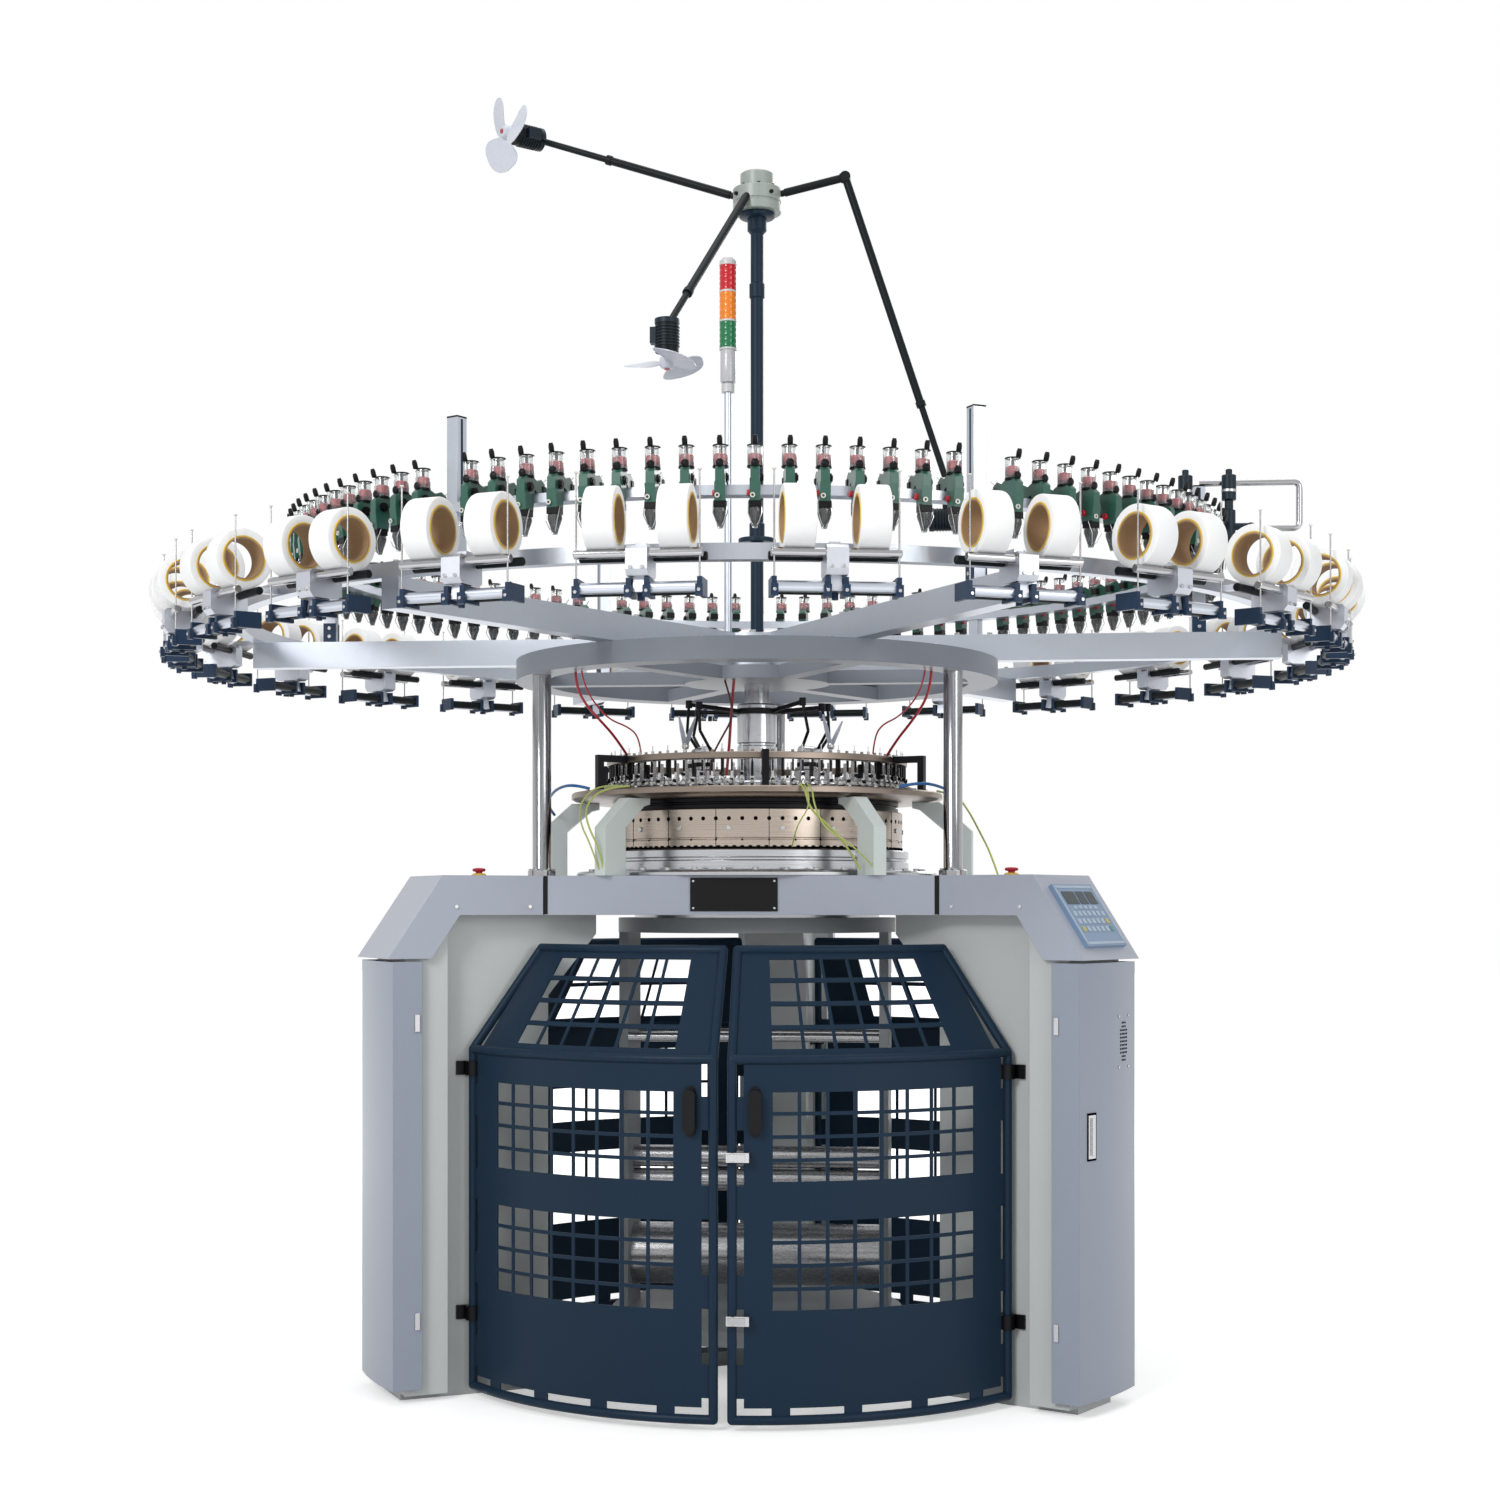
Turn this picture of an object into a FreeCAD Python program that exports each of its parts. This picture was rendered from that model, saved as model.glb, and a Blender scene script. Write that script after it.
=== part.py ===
import FreeCAD, Part
import math
import os

# Circular knitting machine with a yarn feeder ring, an outer creel and three pairs of guard gates.
# Millimetres, +Z up. The origin is on the floor under the axis of the needle cylinder, -Y is the front.

V = FreeCAD.Vector
UP = V(0, 0, 1)

# Legs, as distances from the machine's axis
LEG_ANGLES = {"left": 210, "right": 330, "back": 90}
LEG_INNER = 720
LEG_NECK_INNER = 570
LEG_NECK_LOW = 1150
LEG_NECK_HIGH = 1330
STEM_HALF = 100
CABINET_INNER = 1040
CABINET_OUTER = 1165
CABINET_HALF = 150

# Bed and the hood on each leg
BED_BOTTOM = 1386
BED_TOP = 1500
BED_CORNER_REACH = 755
BED_BORE = 400
HOOD_GAP = 5
HOOD_HALF = 170
ROOF_START = 1060
ROOF_END = 1220
ROOF_LOW = 1262
ROOF_DEPTH = 50

# Curved service door of each leg
COVER_OUTER = 1218
COVER_WALL = 18
COVER_BOTTOM = 40
COVER_TOP_GAP = 8
COVER_LIP_INNER = 1120
COVER_LIP_WALL = 12
COVER_OPEN_GAP = 6
COVER_HINGE_HEIGHTS = (220, 1080)
HINGE_PIN_R = 5
HINGE_FIT = 0.3
KNUCKLE_R = 10
KNUCKLE_HALF = 14
HINGE_EAR = 12
HINGE_STRAP = 10

# Guard gates between the legs
GATE_RADIUS = 965
GATE_TOP_INSET = 200
GATE_TOP_RADIUS = GATE_RADIUS - GATE_TOP_INSET
GATE_TUBE_R = 13
GATE_FOOT_Z = 32
GATE_BEND_Z = 1000
GATE_TOP_Z = 1290
GATE_HINGE_OFFSET = 26
GATE_TOP_OFFSET = 38
GATE_HALF_SPAN = 60 - math.degrees(math.asin((STEM_HALF + GATE_HINGE_OFFSET) / GATE_RADIUS))
GATE_TOP_HALF_SPAN = 60 - math.degrees(math.asin((STEM_HALF + GATE_TOP_OFFSET) / GATE_TOP_RADIUS))
GATE_MIDDLE_GAP = 1.5
GATE_SHEET = 4
GATE_SHEET_MARGIN = 1.9
GATE_SHEET_SHORT = 4
GATE_TAB_LENGTH = 90
GATE_TAB_HEIGHTS = (90, 330, 570, 810)
FOOT_TAB_ANGLE = 3
FOOT_TABS = 4
GRILLE_START = 8
GRILLE_END = 44
GRILLE_COLUMNS = 8
GRILLE_ROWS = 4
GRILLE_BAR = 10
GRILLE_BANDS = ((326, 566), (672, 912))
TOP_GRILLE_COLUMNS = 6
TOP_GRILLE_ROWS = 4
TOP_GRILLE_TRIM = 4
TOP_GRILLE_LOW = 0.09
TOP_GRILLE_SHARE = 0.86
TOP_GRILLE_BAR = 0.04
GATE_CLAMP_HEIGHTS = (240, 945)
GATE_CLAMP_R = 22
GATE_CLAMP_HEIGHT = 40
GATE_CLAMP_PLATE = 8
HANDLE_HEIGHT = 120
HANDLE_WIDTH = 34
HANDLE_DEPTH = 24
HANDLE_Z = 860
HANDLE_ANGLE = 5.2
LATCH_HEIGHTS = (303, 740)
LATCH_LENGTH = 62
LATCH_HEIGHT = 26
LATCH_DEPTH = 20

# Columns and the top ring
COLUMN_REACH = 705
COLUMN_R = 28
COLUMN_FOOT_R = 42
COLUMN_FOOT_HEIGHT = 18
RING_INNER = 655
RING_OUTER = 745
RING_BOTTOM = 2100
RING_HEIGHT = 65
WEB_R = 225
WEB_HEIGHT = 40
SPOKE_WIDTH = 60

# Knitting head
BASE_RING_OUTER = 470
BASE_FLANGE_OUTER = 560
BASE_FLANGE_HEIGHT = 16
BASE_RING_HEIGHT = 80
CAM_BOX_INNER = 396
CAM_BOX_OUTER = 450
CAM_BOX_HEIGHT = 118
BAND_OUTER = 438
BAND_HEIGHT = 30
PLATE_INNER = 410
PLATE_OUTER = 575
PLATE_HEIGHT = 30
GUIDE_INNER = 432
GUIDE_OUTER = 466
GUIDE_HEIGHT = 20
CARRIER_COUNT = 48
CARRIER_HEIGHT = 84
CARRIER_WIDTH = 12
CARRIER_DEPTH = 18
BRACKET_COUNT = 6
BRACKET_REACH = 556
BRACKET_WIDTH = 20
ARM_OFFSET = 23
ARM_WIDTH = 44
ARM_FOOT_INNER = 590
ARM_FOOT_OUTER = 672
ARM_TIP = 490
ARM_THICKNESS = 70
DIAL_R = 385
DIAL_HEIGHT = 16
DIAL_HUB_R = 62
DIAL_NECK_R = 40

# Needle cylinder and fabric take-down, which turn together
CYLINDER_INNER = 345
CYLINDER_OUTER = 380
CYLINDER_TOP_GAP = 12
TURN_RING_OUTER = 430
TURN_RING_HEIGHT = 44
TURN_RING_TOP = 1376
SIDE_PLATE_REACH = 385
SIDE_PLATE_WALL = 28
SIDE_PLATE_HALF = 130
SIDE_PLATE_BOTTOM = 170
ROLLER_R = 34
ROLLER_HEIGHTS = (560, 632)
CLOTH_ROLL_R = 95
CLOTH_ROLL_Z = 330
SPREADER_Z = 1010
SPREADER_R = 14
SPREADER_HALF = 120
TURNTABLE_R = 450
TURNTABLE_BOTTOM = 124
PEDESTAL_R = 120
PEDESTAL_RUN_GAP = 0.3
TIE_WIDTH = 80
TIE_HEIGHT = 45

# Creel: arms, feeder ring, outer rail
CREEL_ARMS = 6
CREEL_HUB_R = 160
CREEL_ARM_WIDTH = 60
CREEL_ARM_HEIGHT = 80
CREEL_REACH = 1600
POST_REACH = 1355
POST_SIZE = 36
POST_TOP = 2690
FEEDER_RING_WIDTH = 50
FEEDER_RING_BOTTOM = 2440
FEEDER_RING_HEIGHT = 25
FEEDERS_PER_BAY = 16
FEEDER_WIDTH = 36
FEEDER_BACK = 33
FEEDER_FRONT = 71
FEEDER_INNER = POST_REACH - FEEDER_BACK
FEEDER_OUTER = POST_REACH + FEEDER_FRONT
FEEDER_CAP = 42
FEEDER_DROP = 70
FEEDER_TIP = 50
JAR_R = 20
JAR_HEIGHT = 56
RAIL_WIDTH = 40
RAIL_INNER = CREEL_REACH - RAIL_WIDTH
RAIL_HEIGHT = 40
UNITS_PER_BAY = 4
UNIT_PHASE = 3.5
UNIT_STEM = 145
UNIT_REACH = CREEL_REACH + UNIT_STEM
UNIT_BLOCK_WIDTH = 52
UNIT_BLOCK_HALF = 52
UNIT_BOTTOM = 2130
UNIT_TOP = 2252
UNIT_HALF_LENGTH = 155
UPPER_ROD_R = 11
UPPER_ROD_SPREAD = 30
UPPER_ROD_Z = 2235
LOWER_ROD_R = 14
LOWER_ROD_SPREAD = 22
LOWER_ROD_Z = 2156
UNIT_END_WALL = 12
SPOOL_R = 82
SPOOL_BORE_R = 52
SPOOL_WIDTH = 74
SPOOL_OFFSET = 88
SPOOL_SEAT = 0.3
SPOOL_SIDES = 12
ROD_SIDES = 6

# Mast, fan booms and signal lamp
MAST_R = 20
MAST_TOP = 3565
MAST_FLANGE_R = 55
MAST_FLANGE_HEIGHT = 14
COLLAR_R = 58
COLLAR_Z = 2540
HUB_R = 75
HUB_HEIGHT = 75
HUB_CAP_R = 52
HUB_CAP_HEIGHT = 50
BOOM_R = 10
BOOM_HIGH_ANGLE = 172
BOOM_HIGH_END = (740, MAST_TOP + 295)
BOOM_MID_ANGLE = 250
BOOM_MID_END = (600, MAST_TOP - 490)
BOOM_LOW_ANGLE = 0
BOOM_LOW_ELBOW = (275, MAST_TOP + 105)
BOOM_LOW_END = (585, MAST_TOP - 835)
MOTOR_R = 34
MOTOR_LENGTH = 92
FAN_R = 128
FAN_BLADES = 3
FAN_HUB_R = 22
FAN_HUB_LENGTH = 30
FAN_SHAFT_R = 6
FAN_SHAFT_LENGTH = 16
BLADE_WALL = 5
BLADE_TILT = 24
LAMP_POLE_R = 12
LAMP_PLACE = (-95, 40)
LAMP_POLE_TOP = 3050
LAMP_R = 27
LAMP_HEIGHT = 390

# Control panel and stop buttons on the hoods
PANEL_HALF = 120
PANEL_WALL = 12
PANEL_MARGIN = 0.14
BUTTON_R = 20
BUTTON_HEIGHT = 24
BUTTON_REACH = 900


def turned(shape, angle):
    """Copy a shape turned about the machine's axis."""
    copy = shape.copy()
    copy.rotate(V(0, 0, 0), UP, angle)
    return copy


def box(low, high):
    """Make a box from its lowest and highest corners."""
    return Part.makeBox(high[0] - low[0], high[1] - low[1], high[2] - low[2], V(*low))


def fused(shapes):
    """Join shapes that touch or overlap into one solid."""
    whole = shapes[0].fuse(shapes[1:]) if len(shapes) > 1 else shapes[0]
    return whole.removeSplitter()


def upright(points, half_width):
    """Extrude a profile of (distance, height) points across a leg's width."""
    corners = [V(x, -half_width, z) for x, z in points]
    face = Part.Face(Part.makePolygon(corners + corners[:1]))
    return face.extrude(V(0, 2 * half_width, 0))


def flat(points, bottom, top):
    """Extrude a plan outline between two heights."""
    corners = [V(x, y, bottom) for x, y in points]
    face = Part.Face(Part.makePolygon(corners + corners[:1]))
    return face.extrude(V(0, 0, top - bottom))


def ring(inner, outer, bottom, height):
    """Make a flat ring about the machine's axis."""
    disc = Part.makeCylinder(outer, height, V(0, 0, bottom))
    return disc.cut(Part.makeCylinder(inner, height, V(0, 0, bottom)))


def sector(inner, outer, bottom, top, start, end):
    """Make a piece of a ring between two angles in degrees."""
    first = V(math.cos(math.radians(start)), math.sin(math.radians(start)), 0)
    face = Part.Face(Part.makePolygon([
        V(first.x * inner, first.y * inner, bottom),
        V(first.x * outer, first.y * outer, bottom),
        V(first.x * outer, first.y * outer, top),
        V(first.x * inner, first.y * inner, top),
        V(first.x * inner, first.y * inner, bottom),
    ]))
    return face.revolve(V(0, 0, 0), UP, end - start)


def rod(start, end, radius, sides=0):
    """Make a round or many-sided rod between two points."""
    axis = end - start
    if not sides:
        return Part.makeCylinder(radius, axis.Length, start, axis)
    across = axis.cross(UP if abs(axis.z) < 0.9 * axis.Length else V(1, 0, 0)).normalize()
    other = axis.cross(across).normalize()
    corners = []
    for index in range(sides):
        angle = 2 * math.pi * index / sides
        corners.append(start + across * (radius * math.cos(angle)) + other * (radius * math.sin(angle)))
    face = Part.Face(Part.makePolygon(corners + corners[:1]))
    return face.extrude(axis)


def polar(radius, angle, height):
    """Give the point at a distance and an angle in degrees from the machine's axis."""
    return V(radius * math.cos(math.radians(angle)), radius * math.sin(math.radians(angle)), height)


# Legs, hoods and bed

def roof_slope():
    """Give the height that the hood's roof loses for each millimetre outwards."""
    return (BED_TOP - ROOF_LOW) / (ROOF_END - ROOF_START)


def underside_height(reach):
    """Give the height of the hood's slanted underside at a distance from the axis."""
    return BED_BOTTOM - (reach - (ROOF_START - ROOF_DEPTH)) * roof_slope()


def underside_end():
    """Give the distance at which the hood's underside reaches its lower edge."""
    return ROOF_START - ROOF_DEPTH + (BED_BOTTOM - ROOF_LOW) / roof_slope()


def leg():
    """Make a leg with its wide outer cabinet, pointing along +X."""
    bend = ROOF_START - ROOF_DEPTH
    stem = upright([
        (LEG_INNER, 0), (CABINET_OUTER, 0), (CABINET_OUTER, ROOF_LOW), (underside_end(), ROOF_LOW),
        (bend, BED_BOTTOM), (LEG_NECK_INNER, BED_BOTTOM), (LEG_NECK_INNER, LEG_NECK_HIGH),
        (LEG_INNER, LEG_NECK_LOW),
    ], STEM_HALF)
    cabinet = upright([
        (CABINET_INNER, COVER_BOTTOM / 2), (CABINET_OUTER, COVER_BOTTOM / 2), (CABINET_OUTER, ROOF_LOW),
        (underside_end(), ROOF_LOW), (CABINET_INNER, underside_height(CABINET_INNER)),
    ], CABINET_HALF)
    return fused([stem, cabinet])


def hood():
    """Make the slanted hood that caps a leg, pointing along +X."""
    inner = BED_CORNER_REACH + HOOD_GAP
    return upright([
        (inner, BED_BOTTOM), (inner, BED_TOP), (ROOF_START, BED_TOP), (ROOF_END, ROOF_LOW),
        (underside_end(), ROOF_LOW), (ROOF_START - ROOF_DEPTH, BED_BOTTOM),
    ], HOOD_HALF)


def bed():
    """Make the six-sided bed plate with the bore for the needle cylinder."""
    outline = []
    for angle in (LEG_ANGLES["back"], LEG_ANGLES["left"], LEG_ANGLES["right"]):
        for side in (-HOOD_HALF, HOOD_HALF):
            corner = V(BED_CORNER_REACH, side, 0)
            reach = math.hypot(corner.x, corner.y)
            point = polar(reach, angle + math.degrees(math.atan2(corner.y, corner.x)), 0)
            outline.append((point.x, point.y))
    plate = flat(outline, BED_BOTTOM, BED_TOP)
    return plate.cut(Part.makeCylinder(BED_BORE, BED_TOP - BED_BOTTOM, V(0, 0, BED_BOTTOM)))


# Service doors of the legs

def hinge_place():
    """Give the service door's hinge axis on a leg that points along +X."""
    return COVER_LIP_INNER + HINGE_PIN_R, HOOD_HALF + KNUCKLE_R - HINGE_STRAP / 5


def cover():
    """Make the curved service door of a leg that points along +X, hinged on its +Y edge."""
    bottom = COVER_BOTTOM
    top = ROOF_LOW - COVER_TOP_GAP
    span = math.degrees(math.asin(HOOD_HALF / COVER_OUTER)) + 1
    skin = sector(COVER_OUTER - COVER_WALL, COVER_OUTER, bottom, top, -span, span)
    skin = skin.common(box((0, -HOOD_HALF, bottom), (COVER_OUTER, HOOD_HALF, top)))
    lip_end = COVER_OUTER - COVER_WALL
    pieces = [skin]
    for side in (-1, 1):
        near = side * (HOOD_HALF - COVER_LIP_WALL)
        far = side * HOOD_HALF
        pieces.append(box((COVER_LIP_INNER, min(near, far), bottom), (lip_end, max(near, far), top)))
    x, y = hinge_place()
    for height in COVER_HINGE_HEIGHTS:
        knuckle = Part.makeCylinder(KNUCKLE_R, 2 * KNUCKLE_HALF, V(x, y, height - KNUCKLE_HALF))
        pieces.append(knuckle)
    body = fused(pieces)
    for height in COVER_HINGE_HEIGHTS:
        bore = Part.makeCylinder(HINGE_PIN_R + HINGE_FIT, 2 * KNUCKLE_HALF, V(x, y, height - KNUCKLE_HALF))
        body = body.cut(bore)
    return body


def cover_hinges():
    """Make the fixed hinge brackets of a service door, standing off the cabinet's side."""
    x, y = hinge_place()
    inner = COVER_LIP_INNER - COVER_OPEN_GAP - HINGE_EAR
    outer = COVER_LIP_INNER - COVER_OPEN_GAP
    arm_low = y - HINGE_STRAP / 2 + 2
    arm_high = y + HINGE_STRAP / 2
    solids = []
    for height in COVER_HINGE_HEIGHTS:
        reach = KNUCKLE_HALF + 1
        pieces = [rod(V(x, y, height - reach - HINGE_EAR), V(x, y, height + reach + HINGE_EAR), HINGE_PIN_R)]
        post_low = height - reach - HINGE_EAR
        post_high = height + reach + HINGE_EAR
        pieces.append(box((inner, CABINET_HALF, post_low), (outer, arm_high, post_high)))
        for low in (post_low, height + reach):
            pieces.append(box((inner, arm_low, low), (x + HINGE_PIN_R, arm_high, low + HINGE_EAR)))
        solids.append(fused(pieces))
    return Part.makeCompound(solids)


# Guard gates

def cone_sheet(thickness, start, end, low_share, high_share):
    """Make a piece of the gates' slanted upper sheet between two shares of its slope."""
    drop = GATE_TOP_RADIUS - GATE_RADIUS
    rise = GATE_TOP_Z - GATE_BEND_Z
    slope = math.hypot(drop, rise)
    out = V(rise / slope, 0, -drop / slope) * (thickness / 2)
    low = V(GATE_RADIUS + drop * low_share, 0, GATE_BEND_Z + rise * low_share)
    high = V(GATE_RADIUS + drop * high_share, 0, GATE_BEND_Z + rise * high_share)
    face = Part.Face(Part.makePolygon([low - out, low + out, high + out, high - out, low - out]))
    face.rotate(V(0, 0, 0), UP, start)
    return face.revolve(V(0, 0, 0), UP, end - start)


def arc_tube(radius, height, start, end):
    """Bend a tube of the gate frame about the machine's axis."""
    circle = Part.makeCircle(GATE_TUBE_R, V(radius, 0, height), V(0, 1, 0))
    face = Part.Face(Part.Wire(circle))
    face.rotate(V(0, 0, 0), UP, start)
    return face.revolve(V(0, 0, 0), UP, end - start)


def gate_frame():
    """Make the bent tube frame of one gate leaf, from its middle edge out to its hinge edge."""
    middle = GATE_MIDDLE_GAP
    pieces = [
        arc_tube(GATE_RADIUS, GATE_FOOT_Z, middle, GATE_HALF_SPAN),
        arc_tube(GATE_RADIUS, GATE_BEND_Z, middle, GATE_HALF_SPAN),
        arc_tube(GATE_TOP_RADIUS, GATE_TOP_Z, middle, GATE_TOP_HALF_SPAN),
    ]
    for low_angle, high_angle in ((middle, middle), (GATE_HALF_SPAN, GATE_TOP_HALF_SPAN)):
        foot = polar(GATE_RADIUS, low_angle, GATE_FOOT_Z)
        bend = polar(GATE_RADIUS, low_angle, GATE_BEND_Z)
        top = polar(GATE_TOP_RADIUS, high_angle, GATE_TOP_Z)
        pieces.append(rod(foot, bend, GATE_TUBE_R))
        pieces.append(rod(bend, top, GATE_TUBE_R))
        for corner in (foot, bend, top):
            pieces.append(Part.makeSphere(GATE_TUBE_R, corner))
    return pieces


def gate_sheets(columns, rows, top_columns, top_rows):
    """Make the pierced lower and upper sheets of one gate leaf, with the tabs to its frame."""
    inner = GATE_RADIUS - GATE_SHEET / 2
    outer = GATE_RADIUS + GATE_SHEET / 2
    start = GATE_MIDDLE_GAP + GATE_SHEET_MARGIN
    end = GATE_HALF_SPAN - GATE_SHEET_MARGIN
    bottom = GATE_FOOT_Z + 2.5 * GATE_TUBE_R
    lower = sector(inner, outer, bottom, GATE_BEND_Z - GATE_SHEET_SHORT, start, end)
    bar = math.degrees(GRILLE_BAR / GATE_RADIUS)
    pitch = (GRILLE_END - GRILLE_START + bar) / columns
    holes = []
    for low, high in GRILLE_BANDS:
        step = (high - low + GRILLE_BAR) / rows
        for column in range(columns):
            first = GRILLE_START + column * pitch
            for row in range(rows):
                base = low + row * step
                holes.append(sector(inner - 1, outer + 1, base, base + step - GRILLE_BAR,
                                    first, first + pitch - bar))
    lower = lower.cut(holes)
    short = math.degrees(GATE_SHEET_SHORT / GATE_RADIUS)
    tabs = []
    for height in GATE_TAB_HEIGHTS:
        top = height + GATE_TAB_LENGTH
        tabs.append(sector(inner, outer, height, top, GATE_MIDDLE_GAP + short, start))
        tabs.append(sector(inner, outer, height, top, end, GATE_HALF_SPAN - short))
    foot_step = (end - start) / FOOT_TABS
    for index in range(FOOT_TABS):
        first = start + foot_step * (index + 0.5) - FOOT_TAB_ANGLE / 2
        tabs.append(sector(inner, outer, GATE_FOOT_Z + GATE_SHEET_SHORT, bottom, first, first + FOOT_TAB_ANGLE))
    top_start = GRILLE_START
    top_end = GRILLE_END - TOP_GRILLE_TRIM
    share_short = GATE_SHEET_SHORT / (GATE_TOP_Z - GATE_BEND_Z)
    upper = cone_sheet(GATE_SHEET, GATE_MIDDLE_GAP + short, GATE_TOP_HALF_SPAN - short,
                       share_short, 1 - share_short)
    pitch = (top_end - top_start + bar) / top_columns
    share = TOP_GRILLE_SHARE / top_rows
    holes = []
    for column in range(top_columns):
        first = top_start + column * pitch
        for row in range(top_rows):
            low = TOP_GRILLE_LOW + row * share
            holes.append(cone_sheet(2 * GATE_SHEET, first, first + pitch - bar, low, low + share - TOP_GRILLE_BAR))
    upper = upper.cut(holes)
    return [lower, upper] + tabs


def gate_leaf(fine):
    """Make one gate leaf whose middle edge lies near +X and whose hinge edge is at +Y."""
    if fine:
        sheets = gate_sheets(GRILLE_COLUMNS, GRILLE_ROWS, TOP_GRILLE_COLUMNS, TOP_GRILLE_ROWS)
    else:
        sheets = gate_sheets(GRILLE_COLUMNS // 2, GRILLE_ROWS // 2, TOP_GRILLE_COLUMNS // 2,
                             TOP_GRILLE_ROWS // 2)
    return fused(gate_frame() + sheets)


def mirrored(shape):
    """Mirror a shape across the plane through the axis and +X."""
    return shape.mirror(V(0, 0, 0), V(0, 1, 0))


def gate_clamp(height):
    """Make a clamp round a gate's hinge tube, reaching back to the side of the next leg."""
    leg_direction = 60 - GATE_HALF_SPAN
    tube = polar(GATE_RADIUS, -leg_direction, height)
    low = height - GATE_CLAMP_HEIGHT / 2
    high = height + GATE_CLAMP_HEIGHT / 2
    collar = Part.makeCylinder(GATE_CLAMP_R, GATE_CLAMP_HEIGHT, V(tube.x, tube.y, low))
    plate = box((tube.x - 2 * GATE_CLAMP_R, -STEM_HALF - GATE_CLAMP_PLATE, low),
                (tube.x + 2 * GATE_CLAMP_R, -STEM_HALF, high))
    bridge = box((tube.x - GATE_CLAMP_R / 2, tube.y, low), (tube.x + GATE_CLAMP_R / 2, -STEM_HALF, high))
    clamp = fused([collar, plate, bridge])
    bore = Part.makeCylinder(GATE_TUBE_R + HINGE_FIT, GATE_CLAMP_HEIGHT, V(tube.x, tube.y, low))
    return clamp.cut(bore)


def gate_clamps():
    """Make the clamps of all six gate leaves."""
    solids = []
    for angle in LEG_ANGLES.values():
        for height in GATE_CLAMP_HEIGHTS:
            clamp = gate_clamp(height)
            solids.append(turned(clamp, angle))
            solids.append(turned(mirrored(clamp), angle))
    return Part.makeCompound(solids)


def gate_handle():
    """Make the long pull handle of a gate leaf."""
    face = GATE_RADIUS + GATE_SHEET / 2
    half = HANDLE_WIDTH / 2
    low = HANDLE_Z - HANDLE_HEIGHT / 2 + half
    high = HANDLE_Z + HANDLE_HEIGHT / 2 - half
    start = V(face, 0, low)
    grip = Part.makeCylinder(half, HANDLE_DEPTH, start, V(1, 0, 0))
    top = Part.makeCylinder(half, HANDLE_DEPTH, V(face, 0, high), V(1, 0, 0))
    middle = box((face, -half, low), (face + HANDLE_DEPTH, half, high))
    return fused([grip, top, middle])


def gate_latches():
    """Make the two toggle latches on the leaf whose middle edge lies near +X."""
    face = GATE_RADIUS + GATE_TUBE_R
    solids = []
    for height in LATCH_HEIGHTS:
        low = height - LATCH_HEIGHT / 2
        edge = GATE_RADIUS * math.sin(math.radians(GATE_MIDDLE_GAP)) - GATE_TUBE_R
        block = box((face, edge, low), (face + LATCH_DEPTH, edge + LATCH_LENGTH, low + LATCH_HEIGHT))
        foot_low = edge + GATE_TUBE_R * 2 + 4
        foot_high = edge + LATCH_LENGTH
        foot = box((GATE_RADIUS + GATE_SHEET / 2, foot_low, low), (face + 1, foot_high, low + LATCH_HEIGHT))
        solids.append(fused([block, foot]))
    return Part.makeCompound(solids)


# Columns, top ring and creel

def columns():
    """Make the three columns that carry the top ring."""
    solids = []
    for angle in LEG_ANGLES.values():
        foot = polar(COLUMN_REACH, angle, BED_TOP)
        shaft = Part.makeCylinder(COLUMN_R, RING_BOTTOM - BED_TOP, foot)
        flange = Part.makeCylinder(COLUMN_FOOT_R, COLUMN_FOOT_HEIGHT, foot)
        solids.append(fused([shaft, flange]))
    return Part.makeCompound(solids)


def top_ring():
    """Make the top ring with its spokes and middle web."""
    rim = ring(RING_INNER, RING_OUTER, RING_BOTTOM, RING_HEIGHT)
    pieces = [rim, Part.makeCylinder(WEB_R, WEB_HEIGHT, V(0, 0, RING_BOTTOM))]
    for index in range(CREEL_ARMS):
        spoke = box((0, -SPOKE_WIDTH / 2, RING_BOTTOM), (RING_INNER + 5, SPOKE_WIDTH / 2, RING_BOTTOM + WEB_HEIGHT))
        pieces.append(turned(spoke, index * 360 / CREEL_ARMS))
    return fused(pieces)


def arm_bottom():
    """Give the height of the creel arms' underside."""
    return RING_BOTTOM + RING_HEIGHT


def arm_top():
    """Give the height of the creel arms' upper side."""
    return arm_bottom() + CREEL_ARM_HEIGHT


def creel_arms():
    """Make the hub and the box beams that carry the creel."""
    hub_bottom = RING_BOTTOM + WEB_HEIGHT
    pieces = [Part.makeCylinder(CREEL_HUB_R, arm_top() - hub_bottom, V(0, 0, hub_bottom))]
    half = CREEL_ARM_WIDTH / 2
    for index in range(CREEL_ARMS):
        beam = box((0, -half, arm_bottom()), (CREEL_REACH, half, arm_top()))
        pieces.append(turned(beam, index * 360 / CREEL_ARMS))
    return fused(pieces)


def creel_posts():
    """Make the square posts that carry the feeder ring."""
    half = POST_SIZE / 2
    solids = []
    for index in range(CREEL_ARMS):
        low = box((POST_REACH - half, -half, arm_top()), (POST_REACH + half, half, FEEDER_RING_BOTTOM))
        high_start = FEEDER_RING_BOTTOM + FEEDER_RING_HEIGHT
        high = box((POST_REACH - half, -half, high_start), (POST_REACH + half, half, POST_TOP))
        solids.append(turned(low, index * 360 / CREEL_ARMS))
        solids.append(turned(high, index * 360 / CREEL_ARMS))
    return Part.makeCompound(solids)


def feeder_ring():
    """Make the ring on which the yarn feeders sit."""
    inner = POST_REACH - FEEDER_RING_WIDTH / 2
    return ring(inner, inner + FEEDER_RING_WIDTH, FEEDER_RING_BOTTOM, FEEDER_RING_HEIGHT)


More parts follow.
